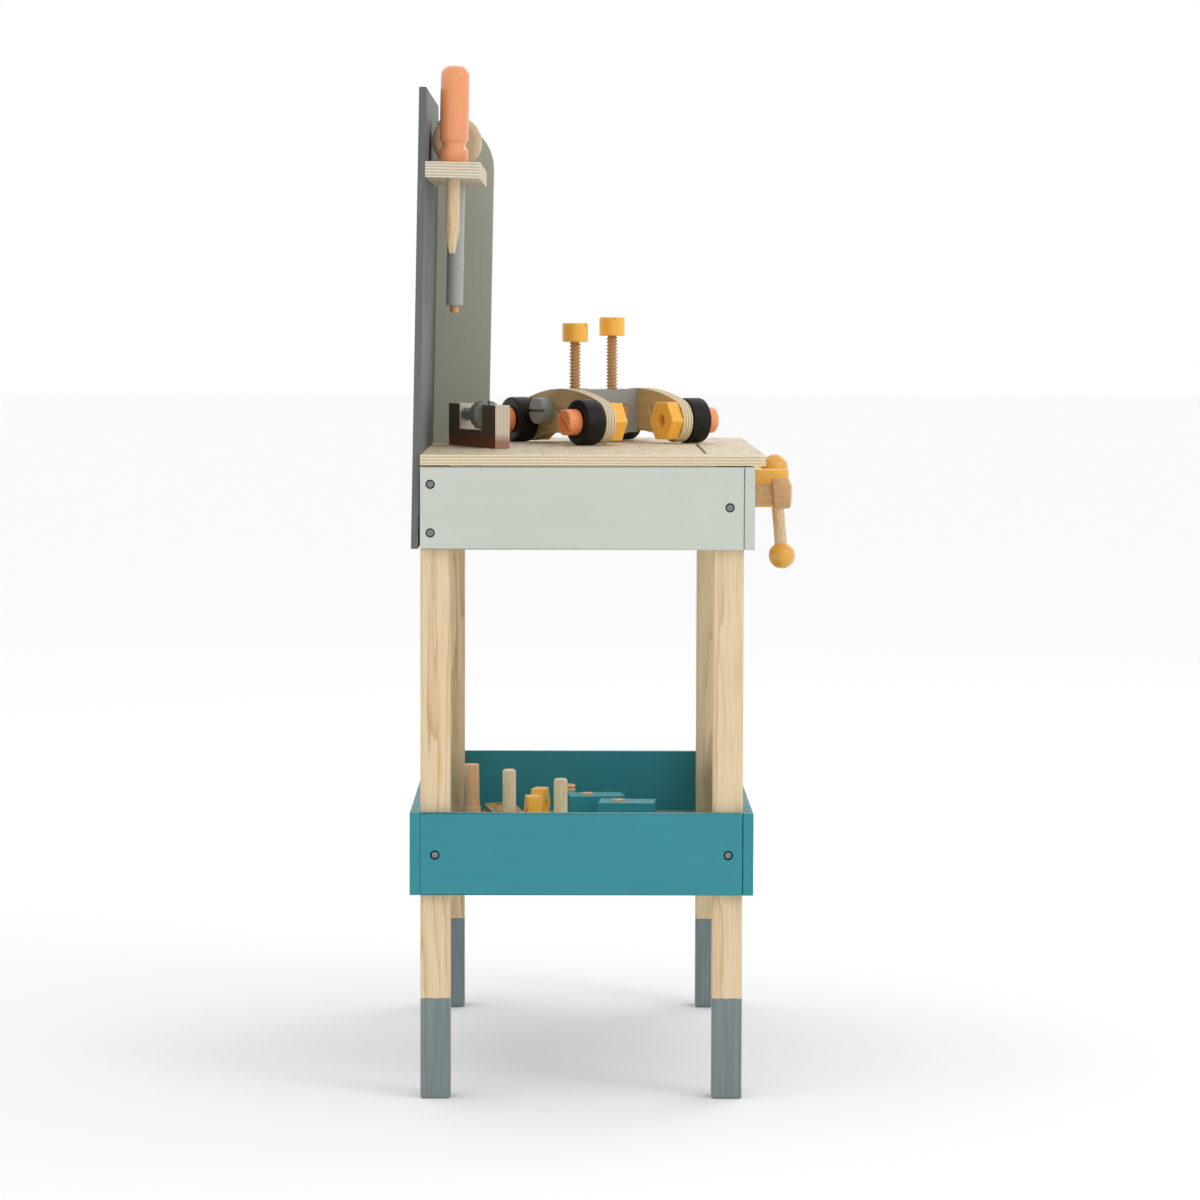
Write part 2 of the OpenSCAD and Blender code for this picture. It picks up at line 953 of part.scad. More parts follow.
module axle_bolts() {
    placed()
        color("#e28f6c")
            truck_frame()
                for (sx = [-1, 1], sy = [-1, 1])
                    at_axle(sx, sy) {
                        translate([0, 0, plate_in - nut_t + bolt_short])
                            cylinder(r = bolt_r, h = wheel_out - plate_in + nut_t - bolt_short);
                        translate([0, 0, wheel_out])
                            rotate([0, 0, 40 * sx])
                                slotted_head(bolt_head_r, bolt_head_len);
                    }
}

// The front nuts have a flat on top, and the rear nuts a flat towards the block
module axle_nuts() {
    placed()
        color("#e8ab3c")
            truck_frame()
                for (sx = [-1, 1], sy = [-1, 1])
                    at_axle(sx, sy)
                        translate([0, 0, plate_in - nut_t])
                            rotate([0, 0, sx < 0 ? 30 : 0])
                                hex_nut(nut_flats, nut_t, bolt_r + 0.05);
}

// Bolts that hold the block between the plates
module side_bolts() {
    placed()
        color("#8f938c")
            truck_frame()
                for (sy = [-1, 1])
                    translate([block_x0 + block_len / 2, 0, stud_z])
                        rotate([-90 * sy, 0, 0]) {
                            translate([0, 0, plate_in - 12])
                                cylinder(r = bolt_r, h = plate_t + 12);
                            translate([0, 0, plate_out])
                                slotted_head(12, bolt_head_len);
                        }
}

// The end of a threaded stud in the block's front face
module block_stud() {
    placed()
        color("#c9a877")
            truck_frame()
                along_x([block_x0 + 1.2, stud_y, stud_z], bolt_r, 5);
}

// Two slotted wooden screws that stand in the block's top
module upright_screws() {
    placed()
        color("#e0a545")
            truck_frame()
                for (i = [0, 1])
                    translate([block_x0 + block_len / 2, (1 - 2 * i) * screw_spot_y, 0]) {
                        translate([0, 0, screw_tops[i] - screw_head_h])
                            rotate([0, 0, 25 - 50 * i])
                                slotted_head(bolt_head_r, screw_head_h);
                        translate([0, 0, block_z0 + 24])
                            ridged_rod(bolt_r, bolt_r - 1.1, 3,
                                screw_tops[i] - screw_head_h - block_z0 - 24 + 0.5);
                    }
}

module wheel(sx, sy) {
    placed()
        color("#1e1a17")
            truck_frame()
                at_axle(sx, sy)
                    translate([0, 0, plate_out + loose])
                        rotate_extrude()
                            polygon(concat([[bolt_r + running, 0]],
                                [for (i = [0 : 4])
                                    [wheel_r - 3 + 3 * sin(i * 22.5), 3 - 3 * cos(i * 22.5)]],
                                [for (i = [0 : 4]) [wheel_r - 3 + 3 * cos(i * 22.5),
                                    wheel_w - 2 * loose - 3 + 3 * sin(i * 22.5)]],
                                [[bolt_r + running, wheel_w - 2 * loose]]));
}

module wheel_front_left() {
    wheel(-1, 1);
}

module wheel_rear_left() {
    wheel(1, 1);
}

module wheel_front_right() {
    wheel(-1, -1);
}

module wheel_rear_right() {
    wheel(1, -1);
}

// The notched beam's own frame: its near lower corner, x along the beam
module beam_frame() {
    translate([-85, 61.5, top_z + loose])
        rotate([0, 0, 21.6])
            children();
}

module notched_beam() {
    placed()
        color("#8a4a2c")
            beam_frame()
                difference() {
                    cube([beam_len, beam_t, beam_h]);
                    translate([notch_x0, -1, beam_h - notch_depth])
                        cube([notch_x1 - notch_x0, beam_t + 2, notch_depth + 1]);
                    along_x([notch_x1 - 1, beam_t / 2, beam_h - notch_depth + 12.9], 3, 17);
                }
}

// A toy bolt in the notch, its tip in the far arm
module beam_bolt() {
    placed()
        color("#8f938c")
            beam_frame()
                translate([0, beam_t / 2, beam_h - notch_depth + 12.9]) {
                    along_x([47, 0, 0], bolt_r, 40.5);
                    along_x([87, 0, 0], 2.9, 10);
                    translate([48, 0, 0])
                        rotate([0, -90, 0])
                            slotted_head(12.6, 14);
                }
}

// A turned peg with a step, standing on the tray floor
module stepped_peg() {
    placed()
        color("#c39664")
            translate([120, 98.5, floor_top + loose]) {
                cylinder(r = 8.4, h = 17);
                translate([0, 0, 17])
                    cylinder(r1 = 7.4, r2 = 6.6, h = 38.5);
            }
}

// Toy nails that stand on their heads
module tray_nails() {
    placed()
        color("#d9bd8c")
            for (spot = [[100, 64.2], [25, 17.8]])
                translate([spot[0], spot[1], floor_top + loose]) {
                    cylinder(r = 11, h = 8);
                    translate([0, 0, 8])
                        cylinder(r = 6, h = 43.5);
                    translate([0, 0, 51.5])
                        cylinder(r1 = 6, r2 = 4.6, h = 1.5);
                }
}

// Hexagon nuts, both standing on a flat
module tray_nuts() {
    placed()
        color("#e8ab3c") {
            for (s = tray_nut_spots)
                translate([s[0], s[1], floor_top + loose + nut_flats / 2])
                    rotate([90, 0, s[2]])
                        translate([0, 0, -nut_t / 2])
                            rotate([0, 0, 30])
                                hex_nut(nut_flats, nut_t, bolt_r + 0.1);
        }
}

// A plywood strip with two holes, flat on the floor
module tray_plate() {
    placed()
        color("#cfb384")
            translate([140, 66, floor_top + loose])
                rotate([0, 0, 8])
                    difference() {
                        union() {
                            translate([0, -14, 0])
                                cube([60, 28, plate_t]);
                            for (x = [0, 60])
                                along_z([x, 0, 0], 14, plate_t);
                        }
                        for (x = [0, 60])
                            along_z([x, 0, -1], bolt_r + 0.1, plate_t + 2);
                    }
}

// Two painted blocks with a hole for an insert in the top of each
module tray_blocks() {
    placed()
        color("#3f8a95")
            for (s = tray_block_spots)
                translate([s[0], s[1], floor_top + loose])
                    rotate([0, 0, s[2]])
                        difference() {
                            translate([-18, -25, 0])
                                cube([36, 50, 24]);
                            along_z([0, 8, 16], bolt_r + 0.05, 12);
                        }
}

// Wooden plugs in the blocks
module tray_inserts() {
    placed()
        color("#c9a877")
            for (s = tray_block_spots)
                translate([s[0], s[1], floor_top + loose])
                    rotate([0, 0, s[2]])
                        along_z([0, 8, 16], bolt_r, 9.5);
}

// A wooden screw that stands on its slotted head
module tray_screw() {
    placed()
        color("#c9a877")
            translate([195, 10, floor_top + loose]) {
                cylinder(r = bolt_head_r, h = 9);
                translate([0, 0, 9])
                    ridged_rod(bolt_r, bolt_r - 1.1, 3, 20);
            }
}

leg_front_left();
leg_front_right();
leg_back_left();
leg_back_right();
apron_left();
apron_right();
apron_front();
apron_back();
worktop();
worktop_battens();
tray_left();
tray_right();
tray_front();
tray_back();
tray_floor();
tray_cleats();
side_screws();
front_screws();
back_screws();
tool_board();
board_wing();
tool_shelf();
board_screws();
tool_peg();
vise_nut();
vise_jaw();
vise_guides();
vise_spindle();
vise_collar();
tommy_bar();
tommy_balls();
driver_handle();
driver_blade();
spare_driver_handle();
spare_driver_blade();
hammer_head();
hammer_handle();
truck_plate_left();
truck_plate_right();
truck_block();
truck_rear_block();
axle_bolts();
axle_nuts();
side_bolts();
block_stud();
upright_screws();
wheel_front_left();
wheel_rear_left();
wheel_front_right();
wheel_rear_right();
notched_beam();
beam_bolt();
stepped_peg();
tray_nails();
tray_nuts();
tray_plate();
tray_blocks();
tray_inserts();
tray_screw();
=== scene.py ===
import json
import math

import bmesh
import bpy
from mathutils import Matrix, Vector
from mathutils.geometry import tessellate_polygon


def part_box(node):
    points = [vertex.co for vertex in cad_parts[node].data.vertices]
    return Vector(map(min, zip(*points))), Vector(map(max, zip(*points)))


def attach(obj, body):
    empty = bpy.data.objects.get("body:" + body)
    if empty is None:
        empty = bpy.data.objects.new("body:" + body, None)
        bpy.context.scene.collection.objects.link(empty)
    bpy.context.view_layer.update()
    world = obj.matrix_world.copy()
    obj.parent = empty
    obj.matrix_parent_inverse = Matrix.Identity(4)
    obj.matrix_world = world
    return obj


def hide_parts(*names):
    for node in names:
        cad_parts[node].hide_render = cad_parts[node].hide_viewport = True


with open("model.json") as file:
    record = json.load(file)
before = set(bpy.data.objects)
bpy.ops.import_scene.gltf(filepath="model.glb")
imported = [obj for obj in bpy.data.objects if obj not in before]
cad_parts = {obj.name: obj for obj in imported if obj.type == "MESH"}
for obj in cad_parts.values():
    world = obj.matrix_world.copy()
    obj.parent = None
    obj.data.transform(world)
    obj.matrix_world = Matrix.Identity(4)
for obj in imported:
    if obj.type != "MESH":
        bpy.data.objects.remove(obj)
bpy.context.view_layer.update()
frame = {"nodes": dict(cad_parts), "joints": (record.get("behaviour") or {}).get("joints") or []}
JOINTS = {j["name"]: j for j in frame["joints"]}
X_AXIS = Vector((1, 0, 0))
Z_AXIS = Vector((0, 0, 1))


# ---------------------------------------------------------------- camera, floor and light

# The camera stands off the bench's left end, a little above the worktop, turned and tipped a little
CAMERA_PLACE = Vector((-3.6846, 0.0318, 0.6444))
CAMERA_YAW = math.radians(0.391)
CAMERA_PITCH = math.radians(3.876)
CAMERA_ROLL = math.radians(0.154)
CAMERA_LENS = 126.9


def make_camera():
    ahead = Vector((math.cos(CAMERA_PITCH) * math.cos(CAMERA_YAW),
                    -math.cos(CAMERA_PITCH) * math.sin(CAMERA_YAW), -math.sin(CAMERA_PITCH)))
    level = ahead.cross(Z_AXIS).normalized()
    above = level.cross(ahead)
    right = level * math.cos(CAMERA_ROLL) + above * math.sin(CAMERA_ROLL)
    up = right.cross(ahead)
    data = bpy.data.cameras.new("camera")
    data.lens = CAMERA_LENS
    data.sensor_width = 36
    data.clip_end = 100
    camera = bpy.data.objects.new("camera", data)
    turn = Matrix((right, up, -ahead)).transposed()
    camera.matrix_world = Matrix.Translation(CAMERA_PLACE) @ turn.to_4x4()
    bpy.context.scene.collection.objects.link(camera)
    bpy.context.scene.camera = camera


def make_floor():
    bm = bmesh.new()
    bmesh.ops.create_grid(bm, x_segments=1, y_segments=1, size=30)
    mesh = bpy.data.meshes.new("floor")
    bm.to_mesh(mesh)
    bm.free()
    floor = bpy.data.objects.new("floor", mesh)
    g = Shader("floor")
    g.surface(color=(0.96, 0.96, 0.96, 1), roughness=0.9, specular=0.1)
    mesh.materials.append(g.material)
    bpy.context.scene.collection.objects.link(floor)


def make_light(name, place, aim, size, power):
    data = bpy.data.lights.new(name, "AREA")
    data.shape = "DISK"
    data.size = size
    data.energy = power
    light = bpy.data.objects.new(name, data)
    light.location = place
    light.rotation_euler = (Vector(aim) - Vector(place)).to_track_quat("-Z", "Y").to_euler()
    bpy.context.scene.collection.objects.link(light)


def make_world():
    world = bpy.data.worlds.new("studio")
    world.use_nodes = True
    background = world.node_tree.nodes["Background"]
    background.inputs["Color"].default_value = (1, 1, 1, 1)
    background.inputs["Strength"].default_value = 1.0
    bpy.context.scene.world = world
    bpy.context.scene.view_settings.view_transform = "Standard"


# ---------------------------------------------------------------- shader graphs


class Shader:
    """A material's node graph, built one node at a time."""

    def __init__(self, name):
        self.material = bpy.data.materials.new(name)
        self.material.use_nodes = True
        self.tree = self.material.node_tree
        self.tree.nodes.clear()
        self.coords = self.add("ShaderNodeTexCoord")

    def add(self, kind, settings=None, **inputs):
        n = self.tree.nodes.new(kind)
        for key, value in (settings or {}).items():
            setattr(n, key, value)
        for key, value in inputs.items():
            self.feed(n.inputs[int(key[1:]) if key[0] == "i" and key[1:].isdigit() else key], value)
        return n

    def feed(self, socket, value):
        if isinstance(value, bpy.types.NodeSocket):
            self.tree.links.new(value, socket)
        else:
            socket.default_value = value

    def math(self, op, a, b=0.0, clamp=False):
        return self.add("ShaderNodeMath", {"operation": op, "use_clamp": clamp}, i0=a, i1=b).outputs[0]

    def vector(self, op, a, b=(0, 0, 0)):
        n = self.add("ShaderNodeVectorMath", {"operation": op}, i0=a, i1=b)
        return n.outputs["Value"] if op in ("LENGTH", "DOT_PRODUCT") else n.outputs["Vector"]

    def mix(self, fac, a, b, blend="MIX"):
        n = self.add("ShaderNodeMix", {"data_type": "RGBA", "blend_type": blend})
        self.feed(n.inputs[0], fac)
        self.feed(n.inputs[6], a)
        self.feed(n.inputs[7], b)
        return n.outputs[2]

    def noise(self, vector, scale=1.0, detail=2.0, rough=0.5):
        n = self.add("ShaderNodeTexNoise", None, Vector=vector)
        n.inputs["Scale"].default_value = scale
        n.inputs["Detail"].default_value = detail
        n.inputs["Roughness"].default_value = rough
        return n.outputs["Fac"]

    def ramp(self, fac, stops):
        """A colour ramp from (place, colour) pairs; a plain number is a grey."""
        n = self.add("ShaderNodeValToRGB", None, Fac=fac)
        ramp = n.color_ramp
        while len(ramp.elements) < len(stops):
            ramp.elements.new(0.5)
        for element, (place, color) in zip(ramp.elements, stops):
            element.position = place
            element.color = color if not isinstance(color, (int, float)) else (color,) * 3 + (1,)
        return n.outputs["Color"]

    def local(self, place=None):
        """Position and normal in a piece's own frame; place is a matrix from that frame to the row's."""
        position, normal = self.coords.outputs["Object"], self.coords.outputs["Normal"]
        if place is None:
            return position, normal
        turn = place.to_euler()
        position = self.add("ShaderNodeMapping", {"vector_type": "TEXTURE"}, Vector=position,
                            Location=place.to_translation(), Rotation=turn).outputs[0]
        normal = self.add("ShaderNodeMapping", {"vector_type": "TEXTURE"}, Vector=normal,
                          Rotation=turn).outputs[0]
        return position, normal

    def scaled(self, position, scale):
        return self.add("ShaderNodeMapping", None, Vector=position, Scale=scale).outputs[0]

    def bump(self, height, distance, strength=1.0):
        n = self.add("ShaderNodeBump", None, Height=height, Strength=strength, Distance=distance)
        return n.outputs[0]

    def surface(self, color, roughness=0.5, normal=None, metallic=0.0, coat=0.0, specular=0.5):
        b = self.add("ShaderNodeBsdfPrincipled")
        self.feed(b.inputs["Base Color"], color)
        self.feed(b.inputs["Roughness"], roughness)
        b.inputs["Metallic"].default_value = metallic
        b.inputs["Coat Weight"].default_value = coat
        b.inputs["Specular IOR Level"].default_value = specular
        if normal is not None:
            self.feed(b.inputs["Normal"], normal)
        out = self.add("ShaderNodeOutputMaterial")
        self.tree.links.new(b.outputs[0], out.inputs[0])
        return self.material


def rgb(r, g, b):
    return (r, g, b, 1.0)


def shade(color, k):
    return (color[0] * k, color[1] * k, color[2] * k, 1.0)


# ---------------------------------------------------------------- materials

PINE = (rgb(0.77, 0.60, 0.38), rgb(0.66, 0.43, 0.21), rgb(0.50, 0.27, 0.10))
SHELF_BIRCH = (rgb(0.75, 0.67, 0.54), rgb(0.66, 0.57, 0.44), rgb(0.46, 0.37, 0.26))
# The truck plates' birch: more golden than the bench's, and brightened as painted light for light the
# truck lacks
TRUCK_BIRCH_LIT = (rgb(0.66, 0.46, 0.20), rgb(0.54, 0.36, 0.14), rgb(0.36, 0.23, 0.09))
PALE_EDGE = (rgb(0.82, 0.70, 0.50), rgb(0.70, 0.56, 0.36), rgb(0.44, 0.32, 0.18))
GOLD_BIRCH = (rgb(0.50, 0.32, 0.13), rgb(0.42, 0.26, 0.10), rgb(0.28, 0.16, 0.06))
BIRCH = (rgb(0.79, 0.67, 0.48), rgb(0.70, 0.57, 0.38), rgb(0.54, 0.41, 0.25))
BEECH = (rgb(0.67, 0.39, 0.18), rgb(0.57, 0.31, 0.13), rgb(0.41, 0.21, 0.085))
# Brightened copies of beech and lime for the tray's loose pieces: painted light for light that does not
# reach into the tray
TRAY_BEECH_LIT = (rgb(0.92, 0.56, 0.31), rgb(0.80, 0.46, 0.24), rgb(0.60, 0.32, 0.15))
TRAY_LIME_LIT = (rgb(0.96, 0.79, 0.50), rgb(0.86, 0.67, 0.40), rgb(0.70, 0.51, 0.28))
LIME = (rgb(0.72, 0.56, 0.34), rgb(0.64, 0.47, 0.27), rgb(0.52, 0.36, 0.19))
DIP_GREY = rgb(0.152, 0.208, 0.228)
SAGE = rgb(0.535, 0.575, 0.510)
# Darker copy of the sage for the wing behind the tool board: painted shade
WING_SAGE_SHADED = rgb(0.405, 0.425, 0.345)
TEAL = rgb(0.020, 0.238, 0.285)
FLOOR_TEAL = rgb(0.30, 0.37, 0.36)
SLATE = rgb(0.108, 0.117, 0.113)
YELLOW = rgb(0.76, 0.385, 0.055)
# Brighter copy of YELLOW for the nuts and screw heads: painted light for light the truck and tray pieces
# lack
YELLOW_LIT_UP = rgb(0.97, 0.495, 0.058)
JAW_YELLOW = rgb(0.97, 0.54, 0.085)
CORAL = rgb(0.81, 0.305, 0.125)
# Brighter copy of the coral for the truck's bolt heads: painted light, standing in for light the truck
# lacks
BOLT_CORAL_LIT = rgb(0.96, 0.33, 0.115)
BLACK = rgb(0.008, 0.0065, 0.005)
GREY = rgb(0.245, 0.262, 0.245)
RUST = rgb(0.30, 0.072, 0.017)
# Dark brown laid on the beam's rust faces towards their top: painted shade
BEAM_SHADE = rgb(0.13, 0.085, 0.055)
STEEL = rgb(0.14, 0.145, 0.15)


def grain(g, position, axis, tones, ring=0.0032, pith=(0.035, 0.02), seed=0.0, pores=0.0,
          wander=0.034, drift=2.2):
    """Solid wood: growth rings about a wandering pith, fibres along the axis, and fine pores."""
    order = {0: (1, 2, 0), 1: (0, 2, 1), 2: (0, 1, 2)}[axis]
    parts = g.add("ShaderNodeSeparateXYZ", None, Vector=position).outputs
    vec = g.add("ShaderNodeCombineXYZ", None, X=parts[order[0]], Y=parts[order[1]],
                Z=parts[order[2]]).outputs[0]
    vec = g.vector("ADD", vec, (pith[0], pith[1], seed))
    slow = g.add("ShaderNodeTexNoise", None, Vector=g.scaled(vec, (14, 14, drift)))
    slow.inputs["Detail"].default_value = 2.5
    shift = g.vector("MULTIPLY", g.vector("SUBTRACT", slow.outputs["Color"], (0.5, 0.5, 0.5)),
                     (wander, wander, 0))
    flat = g.vector("MULTIPLY", g.vector("ADD", vec, shift), (1, 1, 0))
    rings = g.math("FRACT", g.math("DIVIDE", g.vector("LENGTH", flat), ring))
    bands = g.ramp(rings, [(0.0, tones[0]), (0.45, tones[0]), (0.82, tones[1]), (0.93, tones[2]),
                           (1.0, tones[0])])
    wide = g.noise(g.scaled(vec, (30, 30, 3)), 1, 3)
    color = g.mix(g.ramp(wide, [(0.35, 0.1), (0.65, 0.75)]), bands, tones[0])
    fibre = g.noise(g.scaled(vec, (1500, 1500, 26)), 1, 3, 0.6)
    color = g.mix(0.5, color, g.ramp(fibre, [(0.3, 0.62), (0.62, 1.0)]), "MULTIPLY")
    if pores:
        dots = g.noise(g.scaled(vec, (2100, 2100, 330)), 1, 1)
        color = g.mix(g.ramp(dots, [(0.60, 0.0), (0.68, pores)]), color, shade(tones[2], 0.55))
    return color, fibre


def wood(name, axis, tones=PINE, place=None, **kind):
    """Bare sanded wood with its grain along the given axis of the piece's own frame."""
    g = Shader(name)
    position, _ = g.local(place)
    color, fibre = grain(g, position, axis, tones, **kind)
    rough = g.math("MULTIPLY_ADD", fibre, 0.18)
    g.tree.nodes[-1].inputs[2].default_value = 0.46
    return g.surface(color, rough, g.bump(fibre, 0.00012, 0.6), specular=0.35)


def dipped_leg(name, seed, dip_top):
    """A pine leg whose lower end was dipped in grey paint, with a faintly uneven line."""
    g = Shader(name)
    position, _ = g.local()
    color, fibre = grain(g, position, 2, PINE, ring=0.0085, pith=(0.045 + 0.012 * seed, 0.030),
                         seed=seed * 1.7, wander=0.030, drift=1.1)
    height = g.add("ShaderNodeSeparateXYZ", None, Vector=position).outputs[2]
    wobble = g.noise(g.scaled(position, (160, 160, 20)), 1, 2)
    line = g.math("ADD", height, g.math("MULTIPLY", wobble, 0.0016))
    above = g.math("MULTIPLY", g.math("SUBTRACT", line, dip_top), 2600, clamp=True)
    streaks = g.noise(g.scaled(position, (420, 420, 16)), 1, 3)
    paint = g.mix(1.0, DIP_GREY, g.ramp(streaks, [(0.3, 0.82), (0.7, 1.1)]), "MULTIPLY")
    paint = g.mix(0.06, paint, color)
    rough = g.add("ShaderNodeMix", {"data_type": "FLOAT"})
    g.feed(rough.inputs[0], above)
    rough.inputs[2].default_value = 0.42
    rough.inputs[3].default_value = 0.56
    height_map = g.math("ADD", g.math("MULTIPLY", fibre, 0.5), g.math("MULTIPLY", above, -0.6))
    return g.surface(g.mix(above, paint, color), rough.outputs[0],
                     g.bump(height_map, 0.00015, 0.8), specular=0.4)


def plywood(name, thick_axis, thickness, base, layers=7, place=None, seed=0.0, tones=BIRCH,
            edges=None):
    """Bare birch plywood: veneer on its faces, and its layers on the edges in tones of their own."""
    g = Shader(name)
    position, normal = g.local(place)
    veneer, fibre = grain(g, position, 0, tones, ring=0.012, pith=(0.31, 0.12), seed=seed)
    parts = g.add("ShaderNodeSeparateXYZ", None, Vector=position).outputs
    depth = g.math("DIVIDE", g.math("SUBTRACT", parts[thick_axis], base), thickness)
    wave = g.noise(g.scaled(position, (60, 60, 60)), 1, 2)
    depth = g.math("ADD", depth, g.math("MULTIPLY", g.math("SUBTRACT", wave, 0.5), 0.05))
    layer = g.math("FRACT", g.math("MULTIPLY", depth, layers / 2))
    tones = edges or tones
    stripes = g.ramp(layer, [(0.0, tones[1]), (0.03, shade(tones[2], 0.75)), (0.07, tones[0]),
                             (0.47, shade(tones[0], 1.12)), (0.50, shade(tones[2], 0.7)),
                             (0.54, tones[2]), (0.96, tones[1]), (1.0, shade(tones[2], 0.75))])
    flecks = g.noise(g.scaled(position, (900, 900, 900)), 1, 2)
    stripes = g.mix(0.5, stripes, g.ramp(flecks, [(0.3, 0.68), (0.65, 1.05)]), "MULTIPLY")
    facing = g.math("ABSOLUTE", g.add("ShaderNodeSeparateXYZ", None, Vector=normal).outputs[thick_axis])
    on_face = g.ramp(facing, [(0.80, 0.0), (0.93, 1.0)])
    color = g.mix(on_face, stripes, veneer)
    height = g.mix(on_face, g.mix(0.5, layer_height(g, layer), flecks), fibre)
    rough = g.ramp(on_face, [(0.0, 0.66), (1.0, 0.5)])
    return g.surface(color, rough, g.bump(height, 0.00018, 0.7), specular=0.35)


def beam_ply():
    """The notched beam: rust paint with painted shade that darkens its faces to brown towards the top,
    and its layers on the ends, redder and darker towards the foot.
    """
    g = Shader("beam_ply")
    position, normal = g.local(BEAM)
    parts = g.add("ShaderNodeSeparateXYZ", None, Vector=position).outputs
    layer = g.math("FRACT", g.math("MULTIPLY", g.math("ADD", parts[1], 0.0065), 340))
    tones = SHELF_BIRCH
    stripes = g.ramp(layer, [(0.0, tones[1]), (0.05, shade(tones[2], 0.7)), (0.1, tones[0]),
                             (0.47, tones[0]), (0.50, shade(tones[2], 0.7)), (0.54, tones[1]),
                             (0.96, tones[1]), (1.0, shade(tones[2], 0.7))])
    low = g.ramp(g.math("MULTIPLY_ADD", parts[2], 60), [(0.18, 1.0), (0.62, 0.0)])
    g.tree.nodes[-2].inputs[2].default_value = 0.95
    fibre = g.noise(g.scaled(position, (40, 900, 900)), 1, 3, 0.6)
    # The faces: rust near the foot, turning to dark brown towards the top as painted shade
    shaded_rust = g.mix(low, BEAM_SHADE, RUST)
    shaded_rust = g.mix(0.6, shaded_rust, g.ramp(fibre, [(0.3, 0.7), (0.7, 1.15)]), "MULTIPLY")
    ends = g.mix(g.math("MULTIPLY", low, 0.75), stripes, shade(RUST, 1.3), "MULTIPLY")
    facing = g.math("ABSOLUTE", g.add("ShaderNodeSeparateXYZ", None, Vector=normal).outputs[1])
    on_face = g.ramp(facing, [(0.80, 0.0), (0.93, 1.0)])
    return g.surface(g.mix(on_face, ends, shaded_rust), 0.4, g.bump(fibre, 0.0001, 0.5), coat=0.1)


def layer_height(g, layer):
    return g.ramp(layer, [(0.0, 0.2), (0.08, 1.0), (0.46, 1.0), (0.52, 0.2), (0.58, 0.7), (0.95, 0.7)])


def painted_tone(g, position, color, axis):
    """A painted tone: cloudy roller marks, and the faint grain of the board under the paint."""
    stretch = [210, 210, 210]
    stretch[axis] = 9
    cloud = g.noise(g.scaled(position, (16, 16, 16)), 1, 3)
    lines = g.noise(g.scaled(position, stretch), 1, 3, 0.6)
    color = g.mix(1.0, color, g.ramp(cloud, [(0.25, 0.975), (0.75, 1.025)]), "MULTIPLY")
    return g.mix(1.0, color, g.ramp(lines, [(0.25, 0.972), (0.7, 1.02)]), "MULTIPLY")


def paint(name, color, axis=0, rough=0.5, place=None, coat=0.0, peel=0.6, gloss=0.45):
    """Paint on wood: its tone, roller texture, and the grain showing through as fine relief."""
    g = Shader(name)
    position, _ = g.local(place)
    tone = painted_tone(g, position, color, axis)
    stretch = [900, 900, 900]
    stretch[axis] = 60
    lines = g.noise(g.scaled(position, stretch), 1, 3, 0.6)
    fine = g.noise(g.scaled(position, (1300, 1300, 1300)), 1, 2)
    height = g.math("ADD", g.math("MULTIPLY", lines, 0.6), g.math("MULTIPLY", fine, 0.5))
    roughness = g.ramp(g.noise(g.scaled(position, (90, 90, 90)), 1, 3),
                       [(0.3, rough - 0.06), (0.7, rough + 0.06)])
    return g.surface(tone, roughness, g.bump(height, 0.00008, peel), coat=coat, specular=gloss)


def slate_paint(name, color, place):
    """The tool board's matt paint, with pale upright scuffs and chalky dust."""
    g = Shader(name)
    position, _ = g.local(place)
    tone = painted_tone(g, position, color, 2)
    streak = g.noise(g.scaled(position, (260, 260, 22)), 1, 5, 0.72)
    patch = g.noise(g.scaled(position, (11, 11, 7)), 1, 3)
    marks = g.math("MULTIPLY", g.ramp(streak, [(0.56, 0.0), (0.66, 1.0)]),
                   g.ramp(patch, [(0.45, 0.0), (0.6, 0.75)]))
    tone = g.mix(marks, tone, rgb(0.36, 0.38, 0.39))
    dust = g.noise(g.scaled(position, (3, 3, 2)), 1, 4)
    tone = g.mix(g.ramp(dust, [(0.4, 0.0), (0.8, 0.22)]), tone, rgb(0.25, 0.27, 0.275))
    fine = g.noise(g.scaled(position, (1400, 1400, 500)), 1, 2)
    return g.surface(tone, g.ramp(streak, [(0.4, 0.52), (0.7, 0.68)]), g.bump(fine, 0.00008, 0.6))


def half_dipped(name, color, place, axis, cut, tones):
    """A dowel painted up to a line along its axis, with bare wood past it."""
    g = Shader(name)
    position, _ = g.local(place)
    bare, fibre = grain(g, position, axis, tones, ring=0.0028, pith=(0.012, 0.006), pores=0.5)
    along = g.add("ShaderNodeSeparateXYZ", None, Vector=position).outputs[axis]
    covered = g.math("MULTIPLY", g.math("SUBTRACT", along, cut), 3000, clamp=True)
    tone = painted_tone(g, position, color, axis)
    return g.surface(g.mix(covered, bare, tone), 0.42, g.bump(fibre, 0.0001, 0.5), specular=0.45)


